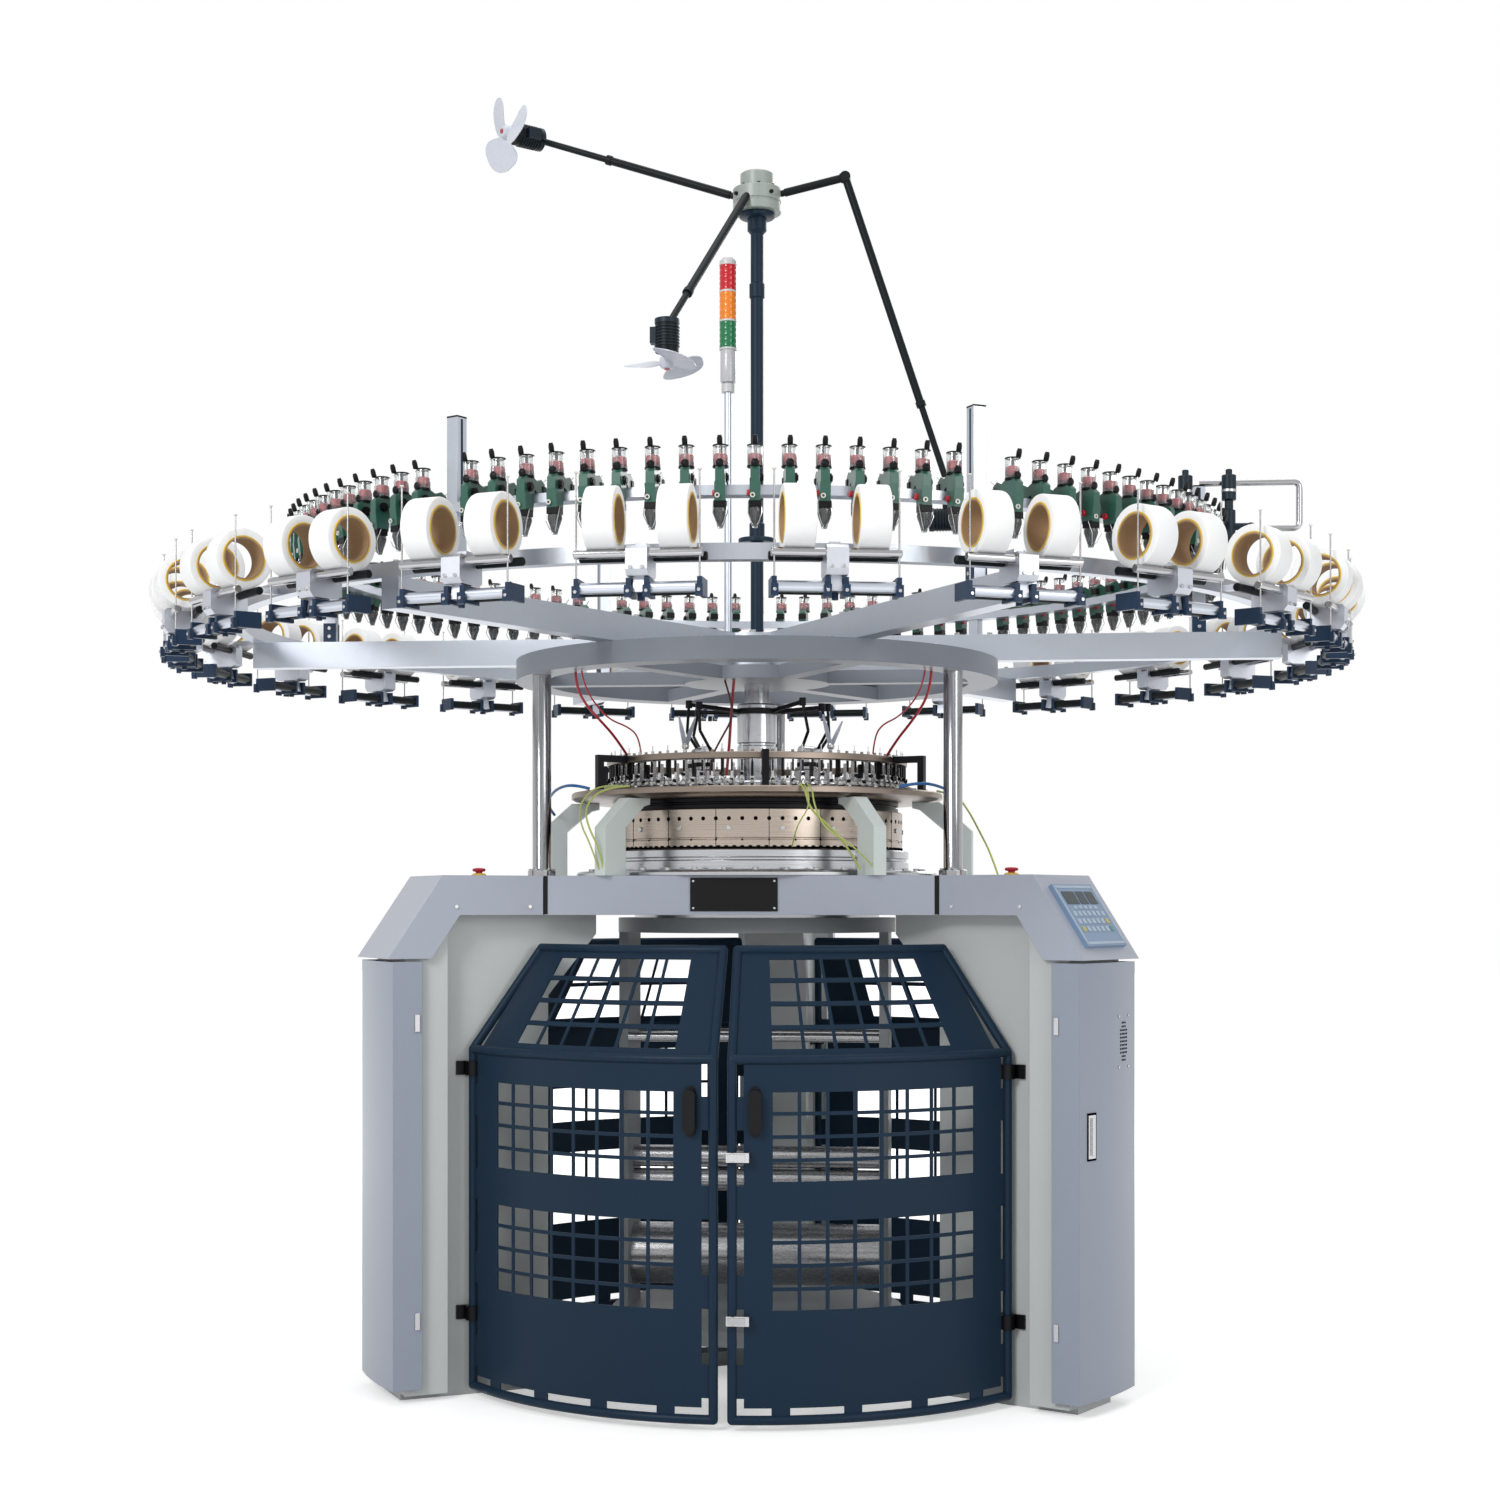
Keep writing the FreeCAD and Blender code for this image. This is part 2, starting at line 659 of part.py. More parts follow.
def feeder():
    """Make a yarn feeder: its housing over the ring, the yarn jar and the drop outside the ring."""
    half = FEEDER_WIDTH / 2
    ring_top = FEEDER_RING_BOTTOM + FEEDER_RING_HEIGHT
    ring_outer = POST_REACH + FEEDER_RING_WIDTH / 2 + 1
    drop_low = ring_top - FEEDER_DROP
    drop_middle = (ring_outer + FEEDER_OUTER) / 2
    housing = upright([
        (FEEDER_INNER, ring_top), (FEEDER_INNER, ring_top + FEEDER_CAP), (FEEDER_OUTER, ring_top + FEEDER_CAP),
        (FEEDER_OUTER, drop_low), (drop_middle, drop_low - FEEDER_TIP), (ring_outer, drop_low),
        (ring_outer, ring_top),
    ], half)
    seat = V(drop_middle - half / 2, 0, ring_top + FEEDER_CAP)
    jar = rod(seat, seat + V(0, 0, JAR_HEIGHT), JAR_R, ROD_SIDES)
    return fused([housing, jar])


def feeder_bays(bays):
    """Make the yarn feeders of the named bays between the posts."""
    one = feeder()
    bay = 360 / CREEL_ARMS
    pitch = bay / (FEEDERS_PER_BAY + 1)
    solids = []
    for index in bays:
        for place in range(FEEDERS_PER_BAY):
            solids.append(turned(one, index * bay + (place + 1) * pitch))
    return Part.makeCompound(solids)


def creel_rail():
    """Make the outer rail of the creel, on top of the arms' ends."""
    return ring(RAIL_INNER, CREEL_REACH, arm_top(), RAIL_HEIGHT)


def creel_unit():
    """Make a roller unit of the creel: its block on the rail, two upper and two lower rods."""
    half = UNIT_BLOCK_WIDTH / 2
    outer = UNIT_REACH + UNIT_BLOCK_HALF
    stem_low = arm_top() + RAIL_HEIGHT / 8
    stem = box((CREEL_REACH, -half / 2, stem_low), (UNIT_REACH, half / 2, arm_top() + RAIL_HEIGHT / 2))
    block_low = LOWER_ROD_Z - LOWER_ROD_R
    block = box((UNIT_REACH - UNIT_BLOCK_HALF, -half, block_low), (outer, half, UNIT_TOP))
    pieces = [stem, block]
    for radius, spread, height in (
        (UPPER_ROD_R, UPPER_ROD_SPREAD, UPPER_ROD_Z),
        (LOWER_ROD_R, LOWER_ROD_SPREAD, LOWER_ROD_Z),
    ):
        for side in (-1, 1):
            x = UNIT_REACH + side * spread
            start = V(x, -UNIT_HALF_LENGTH, height)
            pieces.append(rod(start, V(x, UNIT_HALF_LENGTH, height), radius, ROD_SIDES))
    for side in (-1, 1):
        near = side * (UNIT_HALF_LENGTH - UNIT_END_WALL)
        far = side * UNIT_HALF_LENGTH
        pieces.append(box((UNIT_REACH - 2 * LOWER_ROD_SPREAD, min(near, far), UNIT_BOTTOM),
                          (UNIT_REACH + 2 * LOWER_ROD_SPREAD, max(near, far), LOWER_ROD_Z + 2 * LOWER_ROD_R)))
    return fused(pieces)


def spool(side):
    """Make a yarn spool that lies on the upper rods, on one side of the unit's block."""
    reach = SPOOL_R * math.cos(math.pi / SPOOL_SIDES) + UPPER_ROD_R
    height = UPPER_ROD_Z + math.sqrt(reach ** 2 - UPPER_ROD_SPREAD ** 2) + SPOOL_SEAT
    middle = side * SPOOL_OFFSET
    start = V(UNIT_REACH, middle - SPOOL_WIDTH / 2, height)
    end = start + V(0, SPOOL_WIDTH, 0)
    body = rod(start, end, SPOOL_R, SPOOL_SIDES)
    return body.cut(rod(start, end, SPOOL_BORE_R, SPOOL_SIDES))


def unit_angles(bays):
    """Give the angles of the creel units in the named bays."""
    bay = 360 / CREEL_ARMS
    pitch = bay / UNITS_PER_BAY
    return [index * bay + place * pitch - UNIT_PHASE for index in bays for place in range(UNITS_PER_BAY)]


def unit_bays(bays):
    """Make the roller units of the named bays."""
    one = creel_unit()
    return Part.makeCompound([turned(one, angle) for angle in unit_angles(bays)])


def spool_bays(bays):
    """Make the yarn spools of the named bays."""
    pair = [spool(-1), spool(1)]
    return Part.makeCompound([turned(one, angle) for angle in unit_angles(bays) for one in pair])


# Knitting head

def stacked(level, height):
    """Give the height above the bed of the next piece in the stack of the head."""
    return level + height


BASE_TOP = stacked(BED_TOP, BASE_RING_HEIGHT)
CAM_TOP = stacked(BASE_TOP, CAM_BOX_HEIGHT)
BAND_TOP = stacked(CAM_TOP, BAND_HEIGHT)
PLATE_TOP = stacked(BAND_TOP, PLATE_HEIGHT)
CARRIER_TOP = stacked(PLATE_TOP, CARRIER_HEIGHT)


def head_base():
    """Make the flanged steel ring that seats the head on the bed."""
    flange = ring(BED_BORE, BASE_FLANGE_OUTER, BED_TOP, BASE_FLANGE_HEIGHT)
    body = ring(BED_BORE, BASE_RING_OUTER, BED_TOP, BASE_RING_HEIGHT)
    return fused([flange, body])


def cam_box():
    """Make the ring of cam boxes round the needle cylinder."""
    return ring(CAM_BOX_INNER, CAM_BOX_OUTER, BASE_TOP, CAM_BOX_HEIGHT)


def head_band():
    """Make the dark ring between the cam boxes and the feeder plate."""
    return ring(CAM_BOX_INNER, BAND_OUTER, CAM_TOP, BAND_HEIGHT)


def feeder_plate():
    """Make the wide plate that carries the yarn carriers."""
    plate = ring(PLATE_INNER, PLATE_OUTER, BAND_TOP, PLATE_HEIGHT)
    return plate


def yarn_carriers():
    """Make the yarn carriers that stand in a ring on the plate."""
    middle = (GUIDE_INNER + GUIDE_OUTER) / 2
    low = (middle - CARRIER_DEPTH / 2, -CARRIER_WIDTH / 2, PLATE_TOP)
    high = (middle + CARRIER_DEPTH / 2, CARRIER_WIDTH / 2, CARRIER_TOP)
    one = box(low, high)
    return Part.makeCompound([turned(one, 360 * index / CARRIER_COUNT) for index in range(CARRIER_COUNT)])


def guide_ring():
    """Make the ring that holds the tops of the yarn carriers."""
    return ring(GUIDE_INNER, GUIDE_OUTER, CARRIER_TOP, GUIDE_HEIGHT)


def guide_brackets():
    """Make the angle brackets that stay the guide ring from the plate."""
    half = BRACKET_WIDTH / 2
    top = CARRIER_TOP + GUIDE_HEIGHT
    post = box((BRACKET_REACH - half, -half, PLATE_TOP), (BRACKET_REACH + half, half, top))
    tie = box((GUIDE_OUTER + HINGE_FIT, -half, CARRIER_TOP), (BRACKET_REACH, half, top))
    bracket = fused([post, tie])
    step = 360 / BRACKET_COUNT
    return Part.makeCompound([turned(bracket, (index + 0.5) * step + 8) for index in range(BRACKET_COUNT)])


def head_arms():
    """Make the bent arms that carry the feeder plate from the bed."""
    inner_low = ARM_FOOT_INNER
    outer = ARM_FOOT_OUTER
    shoulder = BED_TOP + 2 * ARM_THICKNESS
    arm = upright([
        (inner_low, BED_TOP), (outer, BED_TOP), (outer, shoulder), (outer - ARM_THICKNESS * 1.4, BAND_TOP),
        (ARM_TIP, BAND_TOP), (ARM_TIP, BAND_TOP - ARM_THICKNESS / 4),
        (ARM_TIP + ARM_THICKNESS / 3, BAND_TOP - ARM_THICKNESS / 3), (inner_low, shoulder),
    ], ARM_WIDTH / 2)
    solids = []
    for angle in LEG_ANGLES.values():
        for side in (-1, 1):
            solids.append(turned(arm, angle + side * ARM_OFFSET))
    return Part.makeCompound(solids)


def dial_hub():
    """Turn the dial disc, its cone, the hub and the neck up to the top web."""
    dial_bottom = PLATE_TOP
    cone_top = dial_bottom + 3 * DIAL_HEIGHT
    hub_top = RING_BOTTOM - DIAL_HUB_R
    profile = [
        (0, dial_bottom), (DIAL_R, dial_bottom), (DIAL_R, dial_bottom + DIAL_HEIGHT),
        (2 * DIAL_HUB_R, cone_top), (DIAL_HUB_R, cone_top), (DIAL_HUB_R, hub_top),
        (DIAL_NECK_R, hub_top), (DIAL_NECK_R, RING_BOTTOM), (0, RING_BOTTOM),
    ]
    corners = [V(x, 0, z) for x, z in profile]
    return Part.Face(Part.makePolygon(corners + corners[:1])).revolve(V(0, 0, 0), UP, 360)


# Needle cylinder and take-down

def needle_cylinder():
    """Make the needle cylinder, open from top to bottom."""
    return ring(CYLINDER_INNER, CYLINDER_OUTER, TURN_RING_TOP, PLATE_TOP - CYLINDER_TOP_GAP - TURN_RING_TOP)


def takedown_frame():
    """Make the turning frame under the cylinder: top ring, side plates and turntable."""
    ring_low = TURN_RING_TOP - TURN_RING_HEIGHT
    pieces = [ring(CYLINDER_INNER, TURN_RING_OUTER, ring_low, TURN_RING_HEIGHT)]
    table_top = SIDE_PLATE_BOTTOM
    pieces.append(Part.makeCylinder(TURNTABLE_R, table_top - TURNTABLE_BOTTOM, V(0, 0, TURNTABLE_BOTTOM)))
    for side in (-1, 1):
        near = side * SIDE_PLATE_REACH
        far = side * (SIDE_PLATE_REACH + SIDE_PLATE_WALL)
        pieces.append(box((min(near, far), -SIDE_PLATE_HALF, SIDE_PLATE_BOTTOM),
                          (max(near, far), SIDE_PLATE_HALF, ring_low)))
    return fused(pieces)


def takedown_rollers():
    """Make the pair of take-down rollers and the spreader rods between the side plates."""
    reach = SIDE_PLATE_REACH
    solids = [rod(V(-reach, 0, height), V(reach, 0, height), ROLLER_R) for height in ROLLER_HEIGHTS]
    for side in (-1, 1):
        y = side * SPREADER_HALF
        solids.append(rod(V(-reach, y, SPREADER_Z), V(reach, y, SPREADER_Z), SPREADER_R))
    return Part.makeCompound(solids)


def cloth_roll():
    """Make the roll on which the knitted fabric is wound."""
    return rod(V(-SIDE_PLATE_REACH, 0, CLOTH_ROLL_Z), V(SIDE_PLATE_REACH, 0, CLOTH_ROLL_Z), CLOTH_ROLL_R)


def base_tie():
    """Make the three floor ties between the legs and the pedestal under the turntable."""
    pieces = [Part.makeCylinder(PEDESTAL_R, TURNTABLE_BOTTOM - PEDESTAL_RUN_GAP)]
    for angle in LEG_ANGLES.values():
        tie = box((0, -TIE_WIDTH / 2, 0), (LEG_INNER, TIE_WIDTH / 2, TIE_HEIGHT))
        pieces.append(turned(tie, angle))
    return fused(pieces)


# Mast, booms, fans and lamp

def mast():
    """Make the mast with its collar and top flange."""
    shaft = Part.makeCylinder(MAST_R, MAST_TOP - arm_top(), V(0, 0, arm_top()))
    flange = Part.makeCylinder(MAST_FLANGE_R, MAST_FLANGE_HEIGHT, V(0, 0, MAST_TOP - MAST_FLANGE_HEIGHT))
    collar = Part.makeCylinder(COLLAR_R, MAST_FLANGE_HEIGHT, V(0, 0, COLLAR_Z))
    return fused([shaft, flange, collar])


def swivel_hub():
    """Make the swivelling hub that sits on the mast."""
    seat = MAST_TOP + HINGE_FIT
    drum = Part.makeCylinder(HUB_R, HUB_HEIGHT, V(0, 0, seat))
    cap = Part.makeCylinder(HUB_CAP_R, HUB_CAP_HEIGHT, V(0, 0, seat + HUB_HEIGHT))
    return fused([drum, cap])


def bent_boom(angle, places, motor_start, motor_end):
    """Make a fan boom as straight tubes joined at elbows, with its motor at the end."""
    points = [polar(reach, angle, height) for reach, height in places]
    pieces = [rod(motor_start, motor_end, MOTOR_R)]
    for start, end in zip(points, points[1:]):
        pieces.append(rod(start, end, BOOM_R))
        pieces.append(Part.makeSphere(BOOM_R, end))
    return fused(pieces)


def fan_places():
    """Give each fan's motor axis: its start and end, pointing at the blades."""
    high = polar(BOOM_HIGH_END[0], BOOM_HIGH_ANGLE, BOOM_HIGH_END[1])
    high_way = polar(1, BOOM_HIGH_ANGLE + 50, 0)
    mid = polar(BOOM_MID_END[0], BOOM_MID_ANGLE, BOOM_MID_END[1])
    low = polar(BOOM_LOW_END[0], BOOM_LOW_ANGLE, BOOM_LOW_END[1])
    low_way = polar(1, BOOM_LOW_ANGLE, 0)
    low_motor = low - UP * (MOTOR_LENGTH + MOTOR_R)
    return {
        "high": (high - high_way * MOTOR_LENGTH / 3, high_way),
        "mid": (mid + UP * MOTOR_R / 2, -UP),
        "low": (low_motor - low_way * MOTOR_LENGTH / 2, low_way),
    }


def booms():
    """Make the three fan booms with their motors."""
    places = fan_places()
    hub_low = (HUB_R - 1, MAST_TOP + HUB_HEIGHT / 2)
    hub_high = (HUB_R - 1, MAST_TOP + HUB_HEIGHT * 0.8)
    routes = {
        "high": (BOOM_HIGH_ANGLE, [hub_high, BOOM_HIGH_END]),
        "mid": (BOOM_MID_ANGLE, [hub_low, BOOM_MID_END]),
        "low": (BOOM_LOW_ANGLE, [hub_high, BOOM_LOW_ELBOW, BOOM_LOW_END,
                                 (BOOM_LOW_END[0], BOOM_LOW_END[1] - MOTOR_LENGTH - MOTOR_R)]),
    }
    drum = Part.makeCylinder(HUB_R, HUB_HEIGHT, V(0, 0, MAST_TOP + HINGE_FIT))
    solids = []
    for name, (angle, route) in routes.items():
        start, way = places[name]
        solids.append(bent_boom(angle, route, start, start + way * MOTOR_LENGTH).cut(drum))
    return Part.makeCompound(solids)


def fan(name):
    """Make a fan with its shaft, boss and tilted blades."""
    start, way = fan_places()[name]
    face = start + way * (MOTOR_LENGTH + HINGE_FIT)
    boss = face + way * FAN_SHAFT_LENGTH
    across = way.cross(UP if abs(way.z) < 0.9 else V(0, 1, 0)).normalize()
    middle = boss + way * FAN_HUB_LENGTH / 2
    pieces = [rod(face, boss, FAN_SHAFT_R), rod(boss, boss + way * FAN_HUB_LENGTH, FAN_HUB_R)]
    for index in range(FAN_BLADES):
        turn = FreeCAD.Rotation(way, 360 * index / FAN_BLADES)
        reach = turn.multVec(across)
        side = FreeCAD.Rotation(reach, BLADE_TILT).multVec(way.cross(reach))
        normal = reach.cross(side)
        root = middle + reach * (FAN_HUB_R * 0.8)
        tip = middle + reach * FAN_R * 0.97
        half = FAN_R * 0.34
        waist = middle + reach * FAN_R * 0.62
        corners = [root - side * half * 0.35, waist - side * half, tip - side * half * 0.45,
                   tip + side * half * 0.45, waist + side * half, root + side * half * 0.35]
        corners = [corner - normal * (BLADE_WALL / 2) for corner in corners]
        face_plate = Part.Face(Part.makePolygon(corners + corners[:1]))
        pieces.append(face_plate.extrude(normal * BLADE_WALL))
    return fused(pieces)


def lamp_pole():
    """Make the pole of the signal lamp."""
    return Part.makeCylinder(LAMP_POLE_R, LAMP_POLE_TOP - arm_top(), V(*LAMP_PLACE, arm_top()))


def signal_lamp():
    """Make the stacked signal lamp."""
    return Part.makeCylinder(LAMP_R, LAMP_HEIGHT, V(*LAMP_PLACE, LAMP_POLE_TOP))


def control_panel():
    """Make the keypad panel that lies on the slanted roof of a hood pointing along +X."""
    run = V(ROOF_END - ROOF_START, 0, ROOF_LOW - BED_TOP)
    out = V(-run.z, 0, run.x).normalize() * PANEL_WALL
    upper = V(ROOF_START, 0, BED_TOP) + run * PANEL_MARGIN
    lower = V(ROOF_START, 0, BED_TOP) + run * (1 - PANEL_MARGIN)
    points = [upper, upper + out, lower + out, lower]
    return upright([(point.x, point.z) for point in points], PANEL_HALF)


def stop_buttons():
    """Make the round stop buttons on the two front hoods."""
    solids = []
    for side in ("left", "right"):
        seat = polar(BUTTON_REACH, LEG_ANGLES[side], BED_TOP)
        solids.append(Part.makeCylinder(BUTTON_R, BUTTON_HEIGHT, seat))
    return Part.makeCompound(solids)


def build():
    """Make every piece of the machine, keyed by its name."""
    left, right, back = LEG_ANGLES["left"], LEG_ANGLES["right"], LEG_ANGLES["back"]
    front = -90
    nodes = {}
    for name, angle in LEG_ANGLES.items():
        nodes["leg_" + name] = turned(leg(), angle)
        nodes["hood_" + name] = turned(hood(), angle)
    nodes["bed"] = bed()
    hinged = {"left": mirrored(cover()), "right": cover(), "back": cover()}
    straps = {"left": mirrored(cover_hinges()), "right": cover_hinges(), "back": cover_hinges()}
    for name, angle in LEG_ANGLES.items():
        nodes["leg_door_" + name] = turned(hinged[name], angle)
    nodes["leg_door_hinges"] = Part.makeCompound([turned(straps[name], LEG_ANGLES[name]) for name in straps])
    leaf = gate_leaf(True)
    plain = gate_leaf(False)
    nodes["gate_front_right"] = turned(leaf, front)
    nodes["gate_front_left"] = turned(mirrored(leaf), front)
    for name, angle in (("right", front + 120), ("left", front - 120)):
        nodes["gates_" + name] = Part.makeCompound([turned(plain, angle), turned(mirrored(plain), angle)])
    nodes["gate_clamps"] = gate_clamps()
    nodes["gate_handle_right"] = turned(gate_handle(), front + HANDLE_ANGLE)
    nodes["gate_handle_left"] = turned(gate_handle(), front - HANDLE_ANGLE)
    nodes["gate_latches"] = turned(gate_latches(), front)
    nodes["columns"] = columns()
    nodes["top_ring"] = top_ring()
    nodes["creel_arms"] = creel_arms()
    nodes["creel_posts"] = creel_posts()
    nodes["feeder_ring"] = feeder_ring()
    nodes["creel_rail"] = creel_rail()
    for name, bays in (("right", (5, 0)), ("back", (1, 2)), ("left", (3, 4))):
        nodes["yarn_feeders_" + name] = feeder_bays(bays)
        nodes["creel_units_" + name] = unit_bays(bays)
        nodes["yarn_spools_" + name] = spool_bays(bays)
    nodes["head_base"] = head_base()
    nodes["cam_box"] = cam_box()
    nodes["head_band"] = head_band()
    nodes["feeder_plate"] = feeder_plate()
    nodes["yarn_carriers"] = yarn_carriers()
    nodes["guide_ring"] = guide_ring()
    nodes["guide_brackets"] = guide_brackets()
    nodes["head_arms"] = head_arms()
    nodes["dial_hub"] = dial_hub()
    nodes["needle_cylinder"] = needle_cylinder()
    nodes["takedown_frame"] = takedown_frame()
    nodes["takedown_rollers"] = takedown_rollers()
    nodes["cloth_roll"] = cloth_roll()
    nodes["base_tie"] = base_tie()
    nodes["mast"] = mast()
    nodes["swivel_hub"] = swivel_hub()
    nodes["fan_booms"] = booms()
    for name in ("high", "mid", "low"):
        nodes["fan_" + name] = fan(name)
    nodes["lamp_pole"] = lamp_pole()
    nodes["signal_lamp"] = signal_lamp()
    nodes["control_panel"] = turned(control_panel(), right)
    nodes["stop_buttons"] = stop_buttons()
    return nodes


os.makedirs("parts", exist_ok=True)
for node, shape in build().items():
    shape.exportStep("parts/" + node + ".step")
    print(node, len(shape.Solids), shape.isValid(), round(shape.Volume / 1e6, 2))
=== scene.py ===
import logging
import math
from dataclasses import dataclass
from enum import Enum
from typing import Iterable, Sequence

import bpy
from mathutils import Matrix, Vector


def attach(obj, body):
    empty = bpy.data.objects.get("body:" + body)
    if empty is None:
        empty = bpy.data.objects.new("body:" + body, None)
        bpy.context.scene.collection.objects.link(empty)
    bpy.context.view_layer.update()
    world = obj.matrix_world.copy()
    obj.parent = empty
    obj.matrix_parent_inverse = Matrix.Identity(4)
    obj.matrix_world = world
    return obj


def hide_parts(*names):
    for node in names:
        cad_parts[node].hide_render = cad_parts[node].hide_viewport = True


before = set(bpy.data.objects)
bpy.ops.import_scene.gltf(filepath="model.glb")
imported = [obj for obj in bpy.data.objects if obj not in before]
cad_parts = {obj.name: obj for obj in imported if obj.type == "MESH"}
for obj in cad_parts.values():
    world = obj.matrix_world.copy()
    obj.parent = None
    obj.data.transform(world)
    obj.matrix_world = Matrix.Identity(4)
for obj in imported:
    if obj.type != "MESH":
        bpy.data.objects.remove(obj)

logging.basicConfig(level=logging.INFO, format="%(name)s: %(message)s")
log = logging.getLogger("knitting_machine")

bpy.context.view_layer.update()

FULL_TURN = 2 * math.pi
SHARP_ANGLE = math.radians(38)

# Rays for each softened edge, the radius of metal edges in metres and the colour of lint
EDGE_SAMPLES = 4
METAL_EDGE = 0.001
LINT_COLOR = (0.60, 0.60, 0.59)

# Heights of the machine's levels in metres, as the frame has them
BED_TOP = 1.500
BASE_TOP = 1.580
CAM_TOP = 1.698
BAND_TOP = 1.728
PLATE_TOP = 1.758
CARRIER_TOP = 1.842
GUIDE_TOP = 1.862
RING_BOTTOM = 2.100
ARM_TOP = 2.245
RAIL_TOP = 2.285
FEEDER_RING_TOP = 2.465
POST_TOP = 2.690
LAMP_TOP = 3.440
MAST_TOP = 3.565

# Directions of the legs from +X, and the width of a creel bay, in degrees
LEG_ANGLES = {"left": 210.0, "right": 330.0, "back": 90.0}
BAY = 60.0

# Ends of the booms of the high and the middle fan: reach in metres and direction in degrees
HIGH_BOOM_END = (0.740, 172)
MID_BOOM_END = (0.600, 250)


class Body(Enum):
    """The CAD bodies on which added pieces ride."""

    MACHINE = "machine"
    GATE_RIGHT = "gate_right"
    GATE_LEFT = "gate_left"
    DOOR_LEFT = "door_left"
    DOOR_RIGHT = "door_right"
    DOOR_BACK = "door_back"
    TAKEDOWN = "takedown"
    SWIVEL = "swivel"
    FAN_HIGH = "fan_high_rotor"
    FAN_MID = "fan_mid_rotor"
    FAN_LOW = "fan_low_rotor"


class Bays(Enum):
    """The two creel bays that each named group of creel parts covers."""

    RIGHT = (5, 0)
    BACK = (1, 2)
    LEFT = (3, 4)


class LampLens(Enum):
    """The lenses of the signal lamp, from the bottom: height in metres and colour."""

    BASE = (0.105, (0.50, 0.50, 0.52))
    GREEN = (0.088, (0.006, 0.150, 0.055))
    AMBER = (0.092, (0.720, 0.200, 0.010))
    RED = (0.085, (0.470, 0.008, 0.016))


def turn(degrees: float) -> Matrix:
    """Give a turn about the machine's axis.

    Args:
        degrees: Angle in degrees, counterclockwise from +X seen from above.

    Returns:
        The rotation as a 4 by 4 matrix.
    """
    return Matrix.Rotation(math.radians(degrees), 4, "Z")


def polar(reach: float, degrees: float, height: float) -> Vector:
    """Give a point by its reach from the machine's axis.

    Args:
        reach: Distance from the axis in metres.
        degrees: Angle in degrees from +X.
        height: Height in metres.

    Returns:
        The point in the row frame.
    """
    angle = math.radians(degrees)
    return Vector((reach * math.cos(angle), reach * math.sin(angle), height))


def along(start: Vector, way: Vector) -> Matrix:
    """Give the place whose z axis points along a direction.

    Args:
        start: Origin of the place.
        way: Direction of its z axis.

    Returns:
        The place as a 4 by 4 matrix.
    """
    return Matrix.Translation(start) @ way.to_track_quat("Z", "Y").to_matrix().to_4x4()


